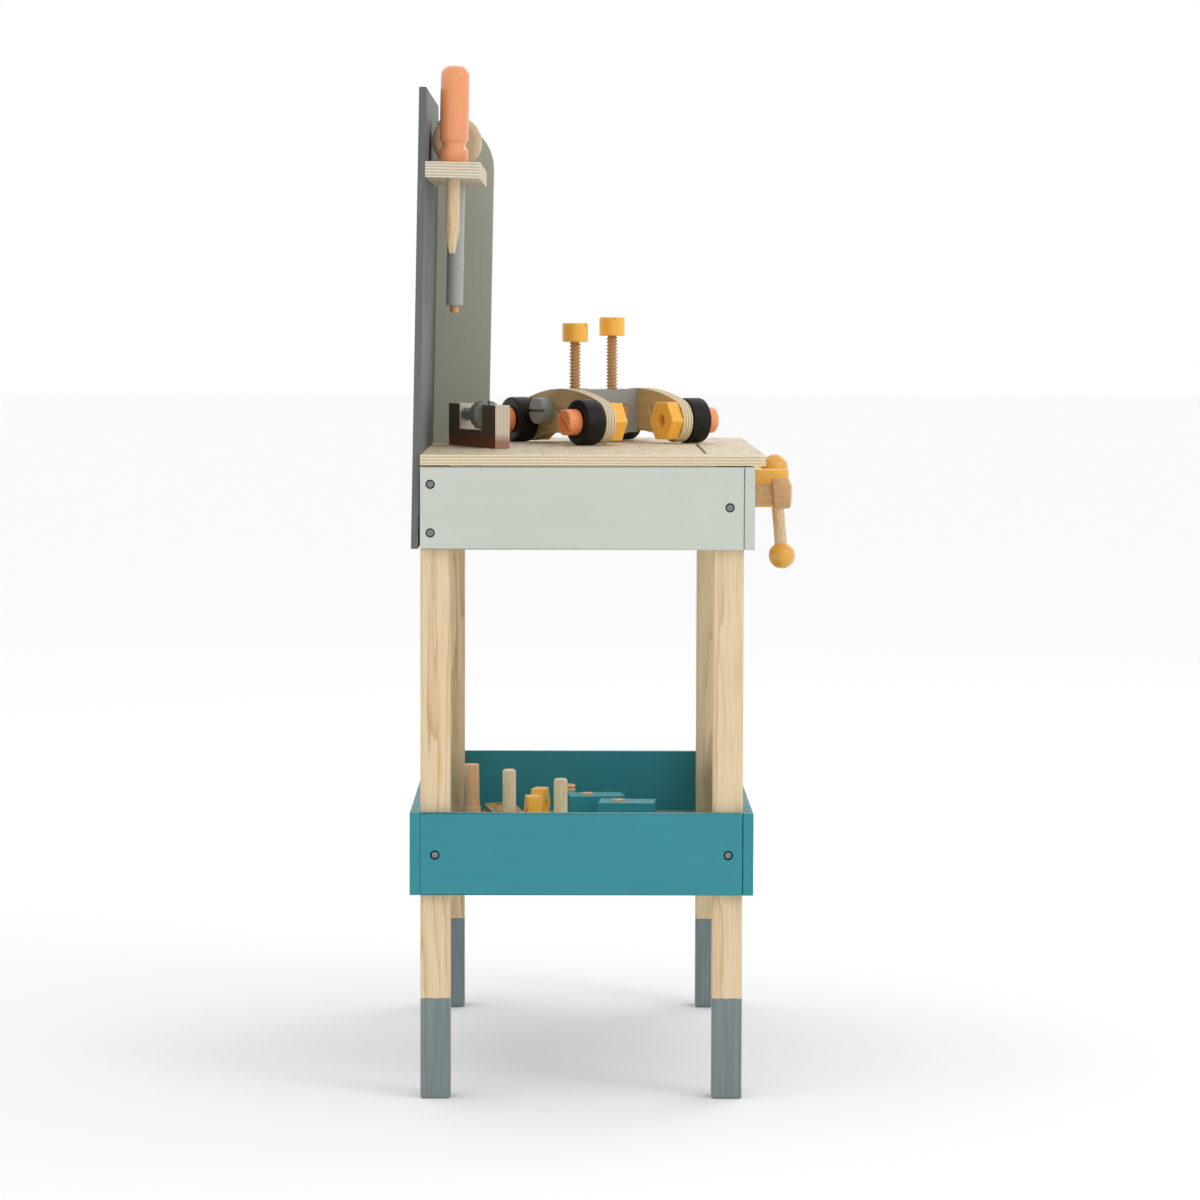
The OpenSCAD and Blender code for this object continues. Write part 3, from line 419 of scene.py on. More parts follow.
def bolt_coral():
    """The axle bolts: painted heads outside the wheels, and bare beech inside them, its thread drawn as
    bands of painted shade.
    """
    g = Shader("bolt_coral")
    position, _ = g.local(TRUCK)
    bare, fibre = grain(g, position, 1, BEECH, ring=0.0026, pith=(0.012, 0.01), pores=0.5)
    along = g.add("ShaderNodeSeparateXYZ", None, Vector=position).outputs[1]
    # Dark bands at the thread's pitch on the bare beech: painted shade in the thread's grooves
    thread_shade = g.ramp(g.math("FRACT", g.math("MULTIPLY", along, 400)),
                   [(0.0, 0.45), (0.5, 1.0), (1.0, 0.45)])
    bare = g.mix(1.0, bare, thread_shade, "MULTIPLY")
    past_wheel = g.math("SUBTRACT", g.math("ABSOLUTE", along), 0.0672)
    painted = g.math("MULTIPLY", past_wheel, 5000, clamp=True)
    # The heads take the brightened coral: painted light
    tone = painted_tone(g, position, BOLT_CORAL_LIT, 1)
    return g.surface(g.mix(painted, bare, tone), 0.38, g.bump(fibre, 0.00008, 0.5), coat=0.12)


def screw_steel(name):
    g = Shader(name)
    position, _ = g.local()
    spots = g.noise(g.scaled(position, (1500, 1500, 1500)), 1, 3)
    color = g.mix(spots, STEEL, shade(STEEL, 2.6))
    return g.surface(color, g.ramp(spots, [(0.3, 0.24), (0.7, 0.42)]),
                     g.bump(spots, 0.00005, 0.4), metallic=1.0)


# ---------------------------------------------------------------- frames of the groups


def turned_to(direction, place):
    """A frame at place whose +Z runs along direction."""
    return Matrix.Translation(place) @ Vector(direction).to_track_quat("Z", "Y").to_matrix().to_4x4()


def centre(node):
    low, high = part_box(node)
    return (low + high) / 2


WHEELS = ["front_left", "rear_left", "front_right", "rear_right"]
WHEEL_PLACES = {w: Vector(JOINTS[w + "_wheel_spin"]["pos_m"]) for w in WHEELS}
AXLE = Vector(JOINTS["front_left_wheel_spin"]["axis"]).normalized()
WHEEL_R = (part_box("wheel_front_left")[1].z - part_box("wheel_front_left")[0].z) / 2
TRUCK_TURN = Matrix.Rotation(math.atan2(-AXLE.x, AXLE.y), 4, "Z")
SET_BACK = {"left": 0.0015, "right": 0.010}
TRUCK_MIDDLE = sum(WHEEL_PLACES.values(), Vector()) / len(WHEELS)
TRUCK = (Matrix.Translation(TRUCK_MIDDLE) @ TRUCK_TURN
         @ Matrix.Translation((-sum(SET_BACK.values()) / 2, 0, -0.02)))
LEAN_UP = Vector(JOINTS["screwdriver_lift"]["axis"]).normalized()
LEAN_TURN = Z_AXIS.rotation_difference(LEAN_UP).to_matrix().to_4x4()
LEANED = Matrix.Translation(centre("tool_board")) @ LEAN_TURN
BENCH_Y = (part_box("leg_front_left")[0].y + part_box("leg_back_left")[1].y) / 2
BAR_AXIS = Vector(JOINTS["tommy_bar_slide"]["axis"]).normalized()
SPINDLE_PLACE = Vector(JOINTS["spindle_turn"]["pos_m"])
BEAM_TURN = math.radians(21.6)
BEAM = Matrix.Translation(centre("notched_beam")) @ Matrix.Rotation(BEAM_TURN, 4, "Z")
PEG_TILT = math.radians(4)


# ---------------------------------------------------------------- mesh building


def make_piece(name, bm, materials, body, nodes=(), sharp=35, flat_faces=False):
    """Turns a bmesh into a piece that rides on a body and stands for the given CAD nodes."""
    bmesh.ops.recalc_face_normals(bm, faces=bm.faces)
    mesh = bpy.data.meshes.new(name)
    bm.to_mesh(mesh)
    bm.free()
    mesh.shade_smooth()
    mesh.set_sharp_from_angle(angle=math.radians(sharp))
    for material in materials if isinstance(materials, list) else [materials]:
        mesh.materials.append(material)
    piece = bpy.data.objects.new(name, mesh)
    bpy.context.scene.collection.objects.link(piece)
    if flat_faces:
        piece.modifiers.new("flat_faces", "WEIGHTED_NORMAL").keep_sharp = True
    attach(piece, body)
    if nodes:
        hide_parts(*nodes)
    return piece


def spin(bm, outline, segments=64, at=Matrix()):
    """Spins (radius, height) points about Z; a point at radius 0 closes the end."""
    rings = []
    for r, z in outline:
        if r < 1e-7:
            rings.append([bm.verts.new(at @ Vector((0, 0, z)))])
        else:
            rings.append([bm.verts.new(at @ Vector((r * math.cos(2 * math.pi * i / segments),
                                                    r * math.sin(2 * math.pi * i / segments), z)))
                          for i in range(segments)])
    for a, b in zip(rings, rings[1:]):
        for i in range(segments):
            j = (i + 1) % segments
            quad = [a[i % len(a)], a[j % len(a)], b[j % len(b)], b[i % len(b)]]
            corners = list(dict.fromkeys(quad))
            if len(corners) > 2:
                bm.faces.new(corners)


def rounded(points, steps=4):
    """Rounds the corners of an outline: each point is (r, z) or (r, z, corner radius)."""
    out = []
    for i, p in enumerate(points):
        here = Vector(p[:2])
        if len(p) < 3 or i in (0, len(points) - 1):
            out.append(tuple(here))
            continue
        before = (Vector(points[i - 1][:2]) - here)
        after = (Vector(points[i + 1][:2]) - here)
        reach = min(p[2], before.length * 0.49, after.length * 0.49)
        start = here + before.normalized() * reach
        end = here + after.normalized() * reach
        for k in range(steps + 1):
            t = k / steps
            q = (1 - t) ** 2 * start + 2 * t * (1 - t) * here + t ** 2 * end
            out.append((max(q.x, 0), q.y))
    return out


def thread(bm, radius, root, pitch, z0, z1, at=Matrix(), segments=40):
    """A helical wooden thread from z0 to z1: a closed skin whose crest climbs one pitch a turn."""
    per_turn = 8
    rows = max(int((z1 - z0) / pitch * per_turn), 4)
    grid = []
    for k in range(rows + 1):
        z = z0 + (z1 - z0) * k / rows
        fade = min(1.0, (z - z0) / pitch * 2, (z1 - z) / pitch * 2)
        ring = []
        for i in range(segments):
            angle = 2 * math.pi * i / segments
            phase = ((z - z0) / pitch - i / segments) % 1.0
            crest = max(0.0, 1 - abs(phase - 0.5) / 0.36) ** 0.8
            r = root + (radius - root) * min(crest, 1.0) * max(fade, 0.15)
            ring.append(bm.verts.new(at @ Vector((r * math.cos(angle), r * math.sin(angle), z))))
        grid.append(ring)
    for a, b in zip(grid, grid[1:]):
        for i in range(segments):
            j = (i + 1) % segments
            bm.faces.new((a[i], a[j], b[j], b[i]))
    for ring, z in ((grid[0], z0), (grid[-1], z1)):
        hub = bm.verts.new(at @ Vector((0, 0, z)))
        for i in range(segments):
            bm.faces.new((ring[i], ring[(i + 1) % segments], hub))


def rounded_bar(bm, low, high, edge, cuts, axis=2):
    """A square bar from low to high with rounded long edges, ringed along its length."""
    size = [high[i] - low[i] for i in range(3)]
    a, b = [i for i in range(3) if i != axis]
    steps = 4
    outline = []
    for sa, sb, start in ((1, 1, 0), (-1, 1, 90), (-1, -1, 180), (1, -1, 270)):
        for k in range(steps + 1):
            t = math.radians(start + 90 * k / steps)
            outline.append((sa * (size[a] / 2 - edge) + edge * math.cos(t),
                            sb * (size[b] / 2 - edge) + edge * math.sin(t)))
    stations = [(0.0, edge * 0.8)] + [(edge * 0.8, 0.0)]
    stations += [(edge + (size[axis] - 2 * edge) * k / cuts, 0.0) for k in range(1, cuts)]
    stations += [(size[axis] - edge * 0.8, 0.0), (size[axis], edge * 0.8)]
    rings = []
    for along, pull in stations:
        ring = []
        for p, q in outline:
            point = [0.0, 0.0, 0.0]
            point[a] = (low[a] + high[a]) / 2 + p * (1 - pull / (size[a] / 2))
            point[b] = (low[b] + high[b]) / 2 + q * (1 - pull / (size[b] / 2))
            point[axis] = low[axis] + along
            ring.append(bm.verts.new(point))
        rings.append(ring)
    count = len(outline)
    for r0, r1 in zip(rings, rings[1:]):
        for i in range(count):
            bm.faces.new((r0[i], r0[(i + 1) % count], r1[(i + 1) % count], r1[i]))
    bm.faces.new(rings[0])
    bm.faces.new(rings[-1])


def circle(x, y, r, steps=40):
    return [(x + r * math.cos(2 * math.pi * k / steps), y + r * math.sin(2 * math.pi * k / steps))
            for k in range(steps)]


def box_outline(x0, y0, x1, y1, r=0.0002):
    """A rectangle's outline, counterclockwise, with small or larger corners."""
    return (corner(x1 - r, y1 - r, r, 0, 3) + corner(x0 + r, y1 - r, r, 90, 3)
            + corner(x0 + r, y0 + r, r, 180, 3) + corner(x1 - r, y0 + r, r, 270, 3))


def inset_directions(outline):
    count = len(outline)
    inward = []
    for i in range(count):
        before = Vector(outline[i]) - Vector(outline[i - 1])
        after = Vector(outline[(i + 1) % count]) - Vector(outline[i])
        a = Vector((-before.y, before.x)).normalized()
        b = Vector((-after.y, after.x)).normalized()
        inward.append((a + b) / max(1 + a.dot(b), 0.2))
    return inward


def bridge(bm, a, b):
    count = len(a)
    for i in range(count):
        j = (i + 1) % count
        bm.faces.new((a[i], a[j], b[j], b[i]))


def cap(bm, rings):
    """A flat face with holes: the first ring is its outline, the others are its holes."""
    flat = [v for ring in rings for v in ring]
    normal = Vector((0, 0, 0))
    for a, b in zip(rings[0], rings[0][1:] + rings[0][:1]):
        normal += a.co.cross(b.co)
    turn = normal.rotation_difference(Z_AXIS)
    for corners in tessellate_polygon([[turn @ v.co for v in ring] for ring in rings]):
        bm.faces.new([flat[k] for k in corners])


def slab(bm, outline, z0, z1, edge, at=Matrix(), pockets=(), steps=3):
    """A board with a counterclockwise outline between two heights, its rims rounded over.

    Each pocket is an outline and its depth from the upper face; without a depth it goes through."""
    inward = inset_directions(outline)
    rings = []
    rims = [(math.radians(90 * k / steps), z0, 1) for k in range(steps + 1)]
    rims += [(math.radians(90 * (steps - k) / steps), z1, -1) for k in range(steps + 1)]
    for t, z, side in rims:
        pull = edge * (1 - math.sin(t))
        height = z + side * edge * (1 - math.cos(t))
        rings.append([bm.verts.new(at @ Vector((q[0] + n.x * pull, q[1] + n.y * pull, height)))
                      for q, n in zip(outline, inward)])
    for a, b in zip(rings, rings[1:]):
        bridge(bm, a, b)
    below, above = [rings[0]], [rings[-1]]
    for points, depth in pockets:
        upper = [bm.verts.new(at @ Vector((x, y, z1))) for x, y in points]
        foot = z0 if depth is None else z1 - depth
        lower = [bm.verts.new(at @ Vector((x, y, foot))) for x, y in points]
        bridge(bm, upper, lower)
        above.append(upper)
        if depth is None:
            below.append(lower)
        else:
            cap(bm, [lower])
    cap(bm, below)
    cap(bm, above)


def corner(x, y, r, start, steps=8):
    """Points of a rounded corner about (x, y), from the start angle on for a quarter turn."""
    return [(x + r * math.cos(math.radians(start + 90 * k / steps)),
             y + r * math.sin(math.radians(start + 90 * k / steps))) for k in range(steps + 1)]


def dress(node, material, edge=0.0006, edge_material=None, segments=3):
    """Gives a CAD node its material and rounds its edges with modifiers; its own mesh stays."""
    piece = frame["nodes"][node]
    piece.data.materials.clear()
    piece.data.materials.append(material)
    if edge_material:
        piece.data.materials.append(edge_material)
    weld = piece.modifiers.new("weld", "WELD")
    weld.merge_threshold = 0.000005
    if edge:
        bevel = piece.modifiers.new("round_edges", "BEVEL")
        bevel.width = edge
        bevel.segments = segments
        bevel.limit_method = "ANGLE"
        bevel.angle_limit = math.radians(32)
        bevel.use_clamp_overlap = True
        bevel.harden_normals = True
        if edge_material:
            bevel.material = 1


# ---------------------------------------------------------------- the pieces

# Places of the screws on the boards, as (y or x, z); y is counted from the middle of the legs
SCREW_SINK_R = 0.0039
SCREW_SINK = 0.0028
SIDE_SCREWS_HIGH = ((0.1237, 0.5055), (0.1237, 0.466), (-0.1201, 0.487))
SIDE_SCREWS_LOW = ((0.1199, 0.2025), (-0.1199, 0.2025))
LEG_X = 0.22975
FRONT_SCREWS_HIGH = ((-LEG_X, 0.5025), (-LEG_X, 0.4695), (LEG_X, 0.5025), (LEG_X, 0.4695))
END_SCREWS_LOW = ((-LEG_X, 0.2175), (LEG_X, 0.2175))
BOARD_SCREWS = [(x, z) for x in (-LEG_X, -0.120, -0.010, 0.070) for z in (0.4705, 0.5025)]


def make_legs():
    dip_top = 0.084
    for seed, node in enumerate(["leg_front_left", "leg_front_right", "leg_back_left",
                                 "leg_back_right"]):
        low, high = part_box(node)
        bm = bmesh.new()
        rounded_bar(bm, low, high, 0.0016, 12)
        make_piece(node + "_turned", bm, dipped_leg(node + "_pine", seed + 1.0, dip_top), "bench",
                   [node])


def facing(node, axis, side):
    """The frame of a board's face, with +Z out of it and +Y up, and the board's half sizes in it."""
    low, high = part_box(node)
    half = (high - low) / 2
    middle = (low + high) / 2
    out = Vector((0, 0, 0))
    out[axis] = side
    right = Z_AXIS.cross(out)
    turn = Matrix((right, Z_AXIS, out)).transposed().to_4x4()
    return Matrix.Translation(middle) @ turn, (half[1 - axis], half.z, half[axis])


def sunk_holes(spots, at):
    """The round sinks of the screws at the given places on a board's face."""
    back = at.inverted()
    return [(circle((back @ Vector(q)).x, (back @ Vector(q)).y, SCREW_SINK_R, 28), SCREW_SINK)
            for q in spots]


def make_board(node, axis, side, material, spots, through=()):
    at, half = facing(node, axis, side)
    back = at.inverted()
    bm = bmesh.new()
    holes = [(circle((back @ Vector(q)).x, (back @ Vector(q)).y, r, 40), None)
             for q, r in through]
    slab(bm, box_outline(-half[0], -half[1], half[0], half[1]), -half[2], half[2], 0.0007, at,
         sunk_holes(spots, at) + holes)
    make_piece(node + "_board", bm, material, "bench", [node], flat_faces=True)


def make_boards():
    for side, name in ((-1, "left"), (1, "right")):
        make_board("apron_" + name, 0, side, paint("apron_sage_" + name, SAGE, 1, 0.5),
                   [(0, BENCH_Y + y, z) for y, z in SIDE_SCREWS_HIGH])
        make_board("tray_" + name, 0, side, paint("tray_teal_" + name, TEAL, 1, 0.42),
                   [(0, BENCH_Y + y, z) for y, z in SIDE_SCREWS_LOW])
    peg = (Vector((centre("tool_peg").x, 0, 0.4922)), 0.0062)
    guides = [(Vector((x, 0, centre("vise_guides").z)), 0.00515) for x in (-0.06, 0.06)]
    spindle = (SPINDLE_PLACE, 0.0083)
    make_board("apron_front", 1, -1, paint("apron_sage_front", SAGE, 0, 0.5),
               [(x, 0, z) for x, z in FRONT_SCREWS_HIGH], [peg, spindle] + guides)
    make_board("tray_front", 1, -1, paint("tray_teal_front", TEAL, 0, 0.42),
               [(x, 0, z) for x, z in END_SCREWS_LOW])
    make_board("tray_back", 1, 1, paint("tray_teal_back", TEAL, 0, 0.42),
               [(x, 0, z) for x, z in END_SCREWS_LOW])
    make_board("apron_back", 1, 1, paint("apron_sage_back", SAGE, 0, 0.5), [])
    dress("tray_floor", paint("tray_floor_paint", FLOOR_TEAL, 0, 0.5), 0.0005)
    plain = wood("batten_pine", 0, PINE, seed=3.0)
    dress("worktop_battens", plain, 0.0008)
    dress("tray_cleats", plain, 0.0008)
    dress("vise_nut", wood("nut_beech", 1, BEECH, seed=5.0, pores=0.5), 0.0006)
    make_tool_board()
    make_wing()


PIVOT = Vector((0, BENCH_Y + 0.1323, 0.5295))
BOARD_FACE = Matrix.Translation(PIVOT) @ LEAN_TURN @ Matrix.Rotation(math.pi / 2, 4, "X")


def make_tool_board():
    """The leaning tool board: drawn on its front face, which the tools hang before."""
    low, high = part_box("tool_board")
    top = 0.2975
    foot = -0.0771
    r = 0.020
    outline = [(low.x, foot), (high.x, foot)] + corner(high.x - r, top - r, r, 0) + [(low.x, top)]
    mirrored = [(-x, y) for x, y in reversed(outline)]
    at = BOARD_FACE @ Matrix.Rotation(math.pi, 4, "Y")
    bm = bmesh.new()
    spots = [(circle(-x, z - PIVOT.z, SCREW_SINK_R, 28), SCREW_SINK)
             for x, z in BOARD_SCREWS]
    slab(bm, mirrored, 0, 0.006, 0.0007, at, spots)
    make_piece("tool_board_slab", bm, slate_paint("board_slate", SLATE, LEANED), "bench",
               ["tool_board"], flat_faces=True)


def make_wing():
    """The wing's outline lies in the leaned board's own frame, with its foot cut level."""
    low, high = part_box("board_wing")
    depth, rise, r = 0.050, 0.2845, 0.042
    turn = Matrix((Vector((0, 1, 0)), Z_AXIS, X_AXIS)).transposed().to_4x4()
    at = Matrix.Translation(PIVOT) @ LEAN_TURN @ turn
    slope = math.tan(math.radians(1.05))
    outline = [(-depth, depth * slope), (0, 0), (0, rise)] + corner(-depth + r, rise - r, r, 90)
    bm = bmesh.new()
    slab(bm, outline, low.x, high.x, 0.0008, at)
    # The wing takes the darker sage: painted shade
    make_piece("wing_slab", bm, paint("wing_sage", WING_SAGE_SHADED, 2, 0.5, place=LEANED), "bench",
               ["board_wing"], flat_faces=True)


def make_worktop():
    low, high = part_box("worktop")
    r = 0.006
    outline = ([(high.x, high.y), (low.x, high.y)] + corner(low.x + r, low.y + r, r, 180)
               + corner(high.x - r, low.y + r, r, 270))
    pockets = [(circle(x, BENCH_Y + y, 0.0062), None) for x in (-0.190, 0.190)
               for y in (-0.046, 0.046)]
    groove = BENCH_Y - 0.1015
    pockets.append((box_outline(-0.205, groove - 0.0015, 0.205, groove + 0.0015), 0.005))
    bm = bmesh.new()
    slab(bm, outline, low.z, high.z, 0.0006, pockets=pockets)
    make_piece("worktop_slab", bm, plywood("worktop_ply", 2, high.z - low.z, low.z, 7, seed=0.7),
               "bench", ["worktop"], flat_faces=True)


def make_shelf():
    low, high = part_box("tool_shelf")
    depth, thick, r = 0.045, 0.013, 0.005
    at = Matrix.Translation(PIVOT) @ LEAN_TURN
    top = 0.2377
    outline = ([(high.x, 0), (low.x, 0)] + corner(low.x + r, -depth + r, r, 180)
               + corner(high.x - r, -depth + r, r, 270))
    y = -depth / 2
    pockets = [(circle(x, y, 0.00615), None) for x in (-0.220, -0.170, -0.075)]
    pockets += [(circle(-0.120, y, 0.0078), None), (circle(-0.030, y, 0.005), None)]
    bm = bmesh.new()
    slab(bm, outline, top - thick, top, 0.0007, at, pockets)
    base = Matrix.Translation(at @ Vector((0, 0, top - thick))) @ LEAN_TURN
    make_piece("shelf_slab", bm, plywood("shelf_ply", 2, thick, 0, 11, place=base, seed=2.2,
                                         tones=SHELF_BIRCH),
               "bench", ["tool_shelf"], flat_faces=True)


def arc(cx, cz, r, start, end, steps):
    """Points of a round, from one angle to another, counted from +Z towards +X in degrees."""
    return [(cx + r * math.sin(math.radians(start + (end - start) * k / steps)),
             cz + r * math.cos(math.radians(start + (end - start) * k / steps)))
            for k in range(steps + 1)]


# The block's bolts and its upright screws share one place along the truck
BOLT_X = 0.0245
BOLT_Z = 0.0284


def make_truck_plate(side):
    """An arched plate of the truck, with its axle holes, its bolt hole and an empty hole."""
    axle, rise, half, axle_z, thick = 0.056, 0.0092, 0.019, 0.020, 0.010
    bend = (axle ** 2 + rise ** 2) / (2 * rise)
    middle = axle_z + rise - bend
    spread = math.degrees(math.asin(axle / bend))
    outline = (arc(0, middle, bend + half, -spread, spread - 1, 24)
               + arc(axle, axle_z, half, spread, spread + 179, 24)
               + arc(0, middle, bend - half, spread, 1 - spread, 20)
               + arc(-axle, axle_z, half, 180 - spread, 359 - spread, 24))
    outline.reverse()
    back = SET_BACK[side]
    bolt = 0.00555
    pockets = [(circle(x, axle_z, bolt), None) for x in (-axle, axle)]
    pockets += [(circle(BOLT_X - back, BOLT_Z, bolt), None),
                (circle(-0.012 - back, BOLT_Z, 0.004), None)]
    far = 0.048 if side == "left" else -0.038
    at = TRUCK @ Matrix.Translation((back, far, 0)) @ Matrix.Rotation(math.pi / 2, 4, "X")
    bm = bmesh.new()
    slab(bm, outline, 0, thick, 0.0008, at, pockets)
    node = "truck_plate_" + side
    # The plates take the brightened birch tones: painted light
    make_piece(node + "_slab", bm, plywood(node + "_ply", 1, thick, far - thick, 7, place=TRUCK,
                                           seed=4.1 + back * 100, tones=TRUCK_BIRCH_LIT,
                                           edges=PALE_EDGE),
               "truck", [node], flat_faces=True)


def make_plywood():
    make_worktop()
    make_shelf()
    make_truck_plate("left")
    make_truck_plate("right")
    low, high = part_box("tray_plate")
    dress("tray_plate", plywood("strip_ply", 2, high.z - low.z, low.z, 7, seed=9.0,
                                tones=GOLD_BIRCH), 0.0)
    dress("notched_beam", beam_ply(), 0.0007)


def make_vise():
    yellow = paint("jaw_yellow", JAW_YELLOW, 0, 0.36, coat=0.15)
    dress("vise_jaw", yellow, 0.0022, paint("jaw_edge", JAW_YELLOW, 0, 0.38))
    beech = wood("spindle_beech", 1, BEECH, place=None, ring=0.003, pith=(0.01, 0.47), pores=0.6)
    low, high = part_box("vise_spindle")
    radius = 0.008
    head = (high.x - low.x) / 2
    at = turned_to((0, -1, 0), Vector((SPINDLE_PLACE.x, SPINDLE_PLACE.y, SPINDLE_PLACE.z)))
    bm = bmesh.new()
    reach = high.y - SPINDLE_PLACE.y
    plain = 0.0295
    thread(bm, radius, radius - 0.0018, 0.005, -reach, -plain, at)
    spin(bm, rounded([(0, -plain - 0.001), (radius - 0.0002, -plain - 0.001),
                      (radius - 0.0002, -0.013), (head, -0.013, 0.0008), (head, 0.0105, 0.003),
                      (head - 0.003, 0.0128, 0.002), (0, 0.013)]), 64, at)
    make_piece("spindle_turned", bm, beech, "vise_spindle", ["vise_spindle"])
    dress("vise_collar", beech, 0.0004)
    dress("vise_guides", wood("guide_beech", 1, BEECH, seed=8.0, pores=0.5), 0.0008)
    middle = centre("tommy_balls")
    ball = (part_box("tommy_balls")[1].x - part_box("tommy_balls")[0].x) / 2
    span = (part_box("tommy_balls")[1].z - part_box("tommy_balls")[0].z - 2 * ball) / BAR_AXIS.z / 2
    at = turned_to(BAR_AXIS, middle)
    bm = bmesh.new()
    bar = (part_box("tommy_bar")[1].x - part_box("tommy_bar")[0].x) / 2
    spin(bm, [(0, -span + 0.002), (bar, -span + 0.002), (bar, 0), (bar, span - 0.002),
              (0, span - 0.002)], 48, at)
    make_piece("tommy_bar_turned", bm, wood("bar_lime", 2, LIME, place=at, ring=0.0026,
                                            pith=(0.009, 0.004), pores=0.3),
               "tommy_bar", ["tommy_bar"])
    bm = bmesh.new()
    hole = math.asin(bar / ball)
    for side in (-1, 1):
        face_in = -side
        outline = [(bar, side * span + face_in * ball * math.cos(hole) - face_in * 0.004)]
        outline += [(ball * math.sin(hole + (math.pi - hole) * k / 28),
                     side * span + face_in * ball * math.cos(hole + (math.pi - hole) * k / 28))
                    for k in range(28)]
        outline += [(0, side * span - face_in * ball)]
        spin(bm, outline, 64, at)
    make_piece("tommy_balls_turned", bm, paint("ball_yellow", YELLOW, 2, 0.30, coat=0.3, peel=0.3),
               "tommy_bar", ["tommy_balls"], sharp=50)


def make_peg():
    low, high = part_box("tool_peg")
    direction = Vector((0, -math.cos(PEG_TILT), math.sin(PEG_TILT)))
    tenon = 0.0075
    length = (high.y - low.y - 0.0132 * math.sin(PEG_TILT) - 0.006 * math.sin(PEG_TILT))
    length /= math.cos(PEG_TILT)
    front = Vector(((low.x + high.x) / 2, low.y, 0))
    axis_z = (low.z + high.z) / 2 - 0.0001
    tip = Vector((front.x, low.y + 0.0132 * math.sin(PEG_TILT), axis_z))
    at = turned_to(direction, tip)
    head, shaft = 0.0132, 0.009
    bm = bmesh.new()
    spin(bm, rounded([(0, -length), (0.0059, -length), (0.0059, -length + tenon + 0.0009),
                      (shaft, -length + tenon + 0.0009, 0.0004), (shaft, -0.0152),
                      (head, -0.0152, 0.0012), (head, -0.0012, 0.0024), (head - 0.004, -0.0002, 0.002),
                      (0, 0)]), 72, at)
    make_piece("peg_turned", bm, wood("peg_beech", 1, BEECH, ring=0.0034, pith=(0.09, 0.45),
                                      pores=0.7, seed=1.3), "bench", ["tool_peg"])


def handle_outline(length):
    """A screwdriver handle's collar, groove, grip and domed end, as radii and heights."""
    r, dip = 0.01175, 0.0022
    outline = rounded([(0, 0), (r - 0.0005, 0, 0.0008), (r, 0.001), (r, 0.0098)])
    outline += [(r - dip * math.sin(math.pi * k / 12) ** 0.8, 0.0100 + 0.0078 * k / 12)
                for k in range(1, 12)]
    outline += [(r, 0.0182)]
    dome = length - 0.008
    outline += [(0.00375 + 0.008 * math.cos(math.pi / 2 * k / 10),
                 dome + 0.008 * math.sin(math.pi / 2 * k / 10)) for k in range(11)]
    return outline + [(0, length)]


def make_screwdrivers():
    coral = paint("handle_coral", CORAL, 2, 0.24, place=LEANED, coat=0.45, peel=0.25)
    for prefix, body, length in (("driver", "screwdriver", 0.078),
                                 ("spare_driver", "spare_screwdriver", 0.034)):
        base = centre(prefix + "_handle") - LEAN_UP * (length / 2)
        outline = handle_outline(length)
        at = turned_to(LEAN_UP, base)
        bm = bmesh.new()
        spin(bm, outline, 72, at)
        make_piece(prefix + "_handle_turned", bm, coral, body, [prefix + "_handle"],
                   sharp=40)
        dress(prefix + "_blade", wood(prefix + "_blade_lime", 2, LIME, ring=0.003,
                                      seed=length * 90, pores=0.3), 0.0003)


def make_hammer():
    middle = centre("hammer_head")
    low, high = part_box("hammer_head")
    half = (high.x - low.x) / 2
    r = (high.z - low.z) / 2
    at = turned_to(X_AXIS, middle)
    bm = bmesh.new()
    spin(bm, rounded([(0, -half), (r - 0.004, -half + 0.0003, 0.002), (r, -half + 0.0028, 0.003),
                      (r, -0.012), (r - 0.0014, -0.010, 0.002), (r - 0.0014, 0.010, 0.002),
                      (r, 0.012), (r, half - 0.0028, 0.003), (r - 0.004, half - 0.0003, 0.002),
                      (0, half)]), 80, at)
    make_piece("hammer_head_turned", bm, wood("hammer_beech", 0, (rgb(0.66, 0.50, 0.33),
               rgb(0.56, 0.40, 0.25), rgb(0.42, 0.28, 0.16)), ring=0.004, pith=(0.005, 0.02),
               pores=0.5), "hammer", ["hammer_head"])
    low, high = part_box("hammer_handle")
    place = turned_to(LEAN_UP, centre("hammer_handle"))
    half = (high.z - low.z) / 2
    r = (high.x - low.x) / 2
    bm = bmesh.new()
    spin(bm, rounded([(0, -half + 0.0002), (0.0036, -half + 0.0002, 0.0008), (0.0036, -half + 0.0062),
                      (r, -half + 0.0062, 0.0014), (r, -0.02), (r, half - 0.0004, 0.001),
                      (0, half - 0.0004)]), 64, place)
    make_piece("hammer_handle_turned", bm, half_dipped("hammer_grey", shade(GREY, 1.55), place, 2,
               -half + 0.0061, BEECH), "hammer", ["hammer_handle"])


def make_wheels():
    black = paint("wheel_black", BLACK, 0, 0.42, coat=0.04, peel=0.5, gloss=0.22)
    half = 0.0097
    hole = 0.00558
    for w in WHEELS:
        outward = AXLE if w.endswith("left") else -AXLE
        at = turned_to(outward, WHEEL_PLACES[w])
        bm = bmesh.new()
        r = WHEEL_R
        spin(bm, rounded([(hole, -half + 0.001), (hole + 0.001, -half, 0.0005),
                          (r, -half, 0.0034), (r, half, 0.0034), (0.0146, half, 0.0006),
                          (0.0142, half - 0.0006), (hole + 0.001, half - 0.0006, 0.0005),
                          (hole, half - 0.0016), (hole, -half + 0.001)], 6), 96, at)
        bmesh.ops.remove_doubles(bm, verts=bm.verts, dist=1e-6)
        make_piece("wheel_" + w + "_turned", bm, black, "wheel_" + w, ["wheel_" + w],
                   sharp=50)


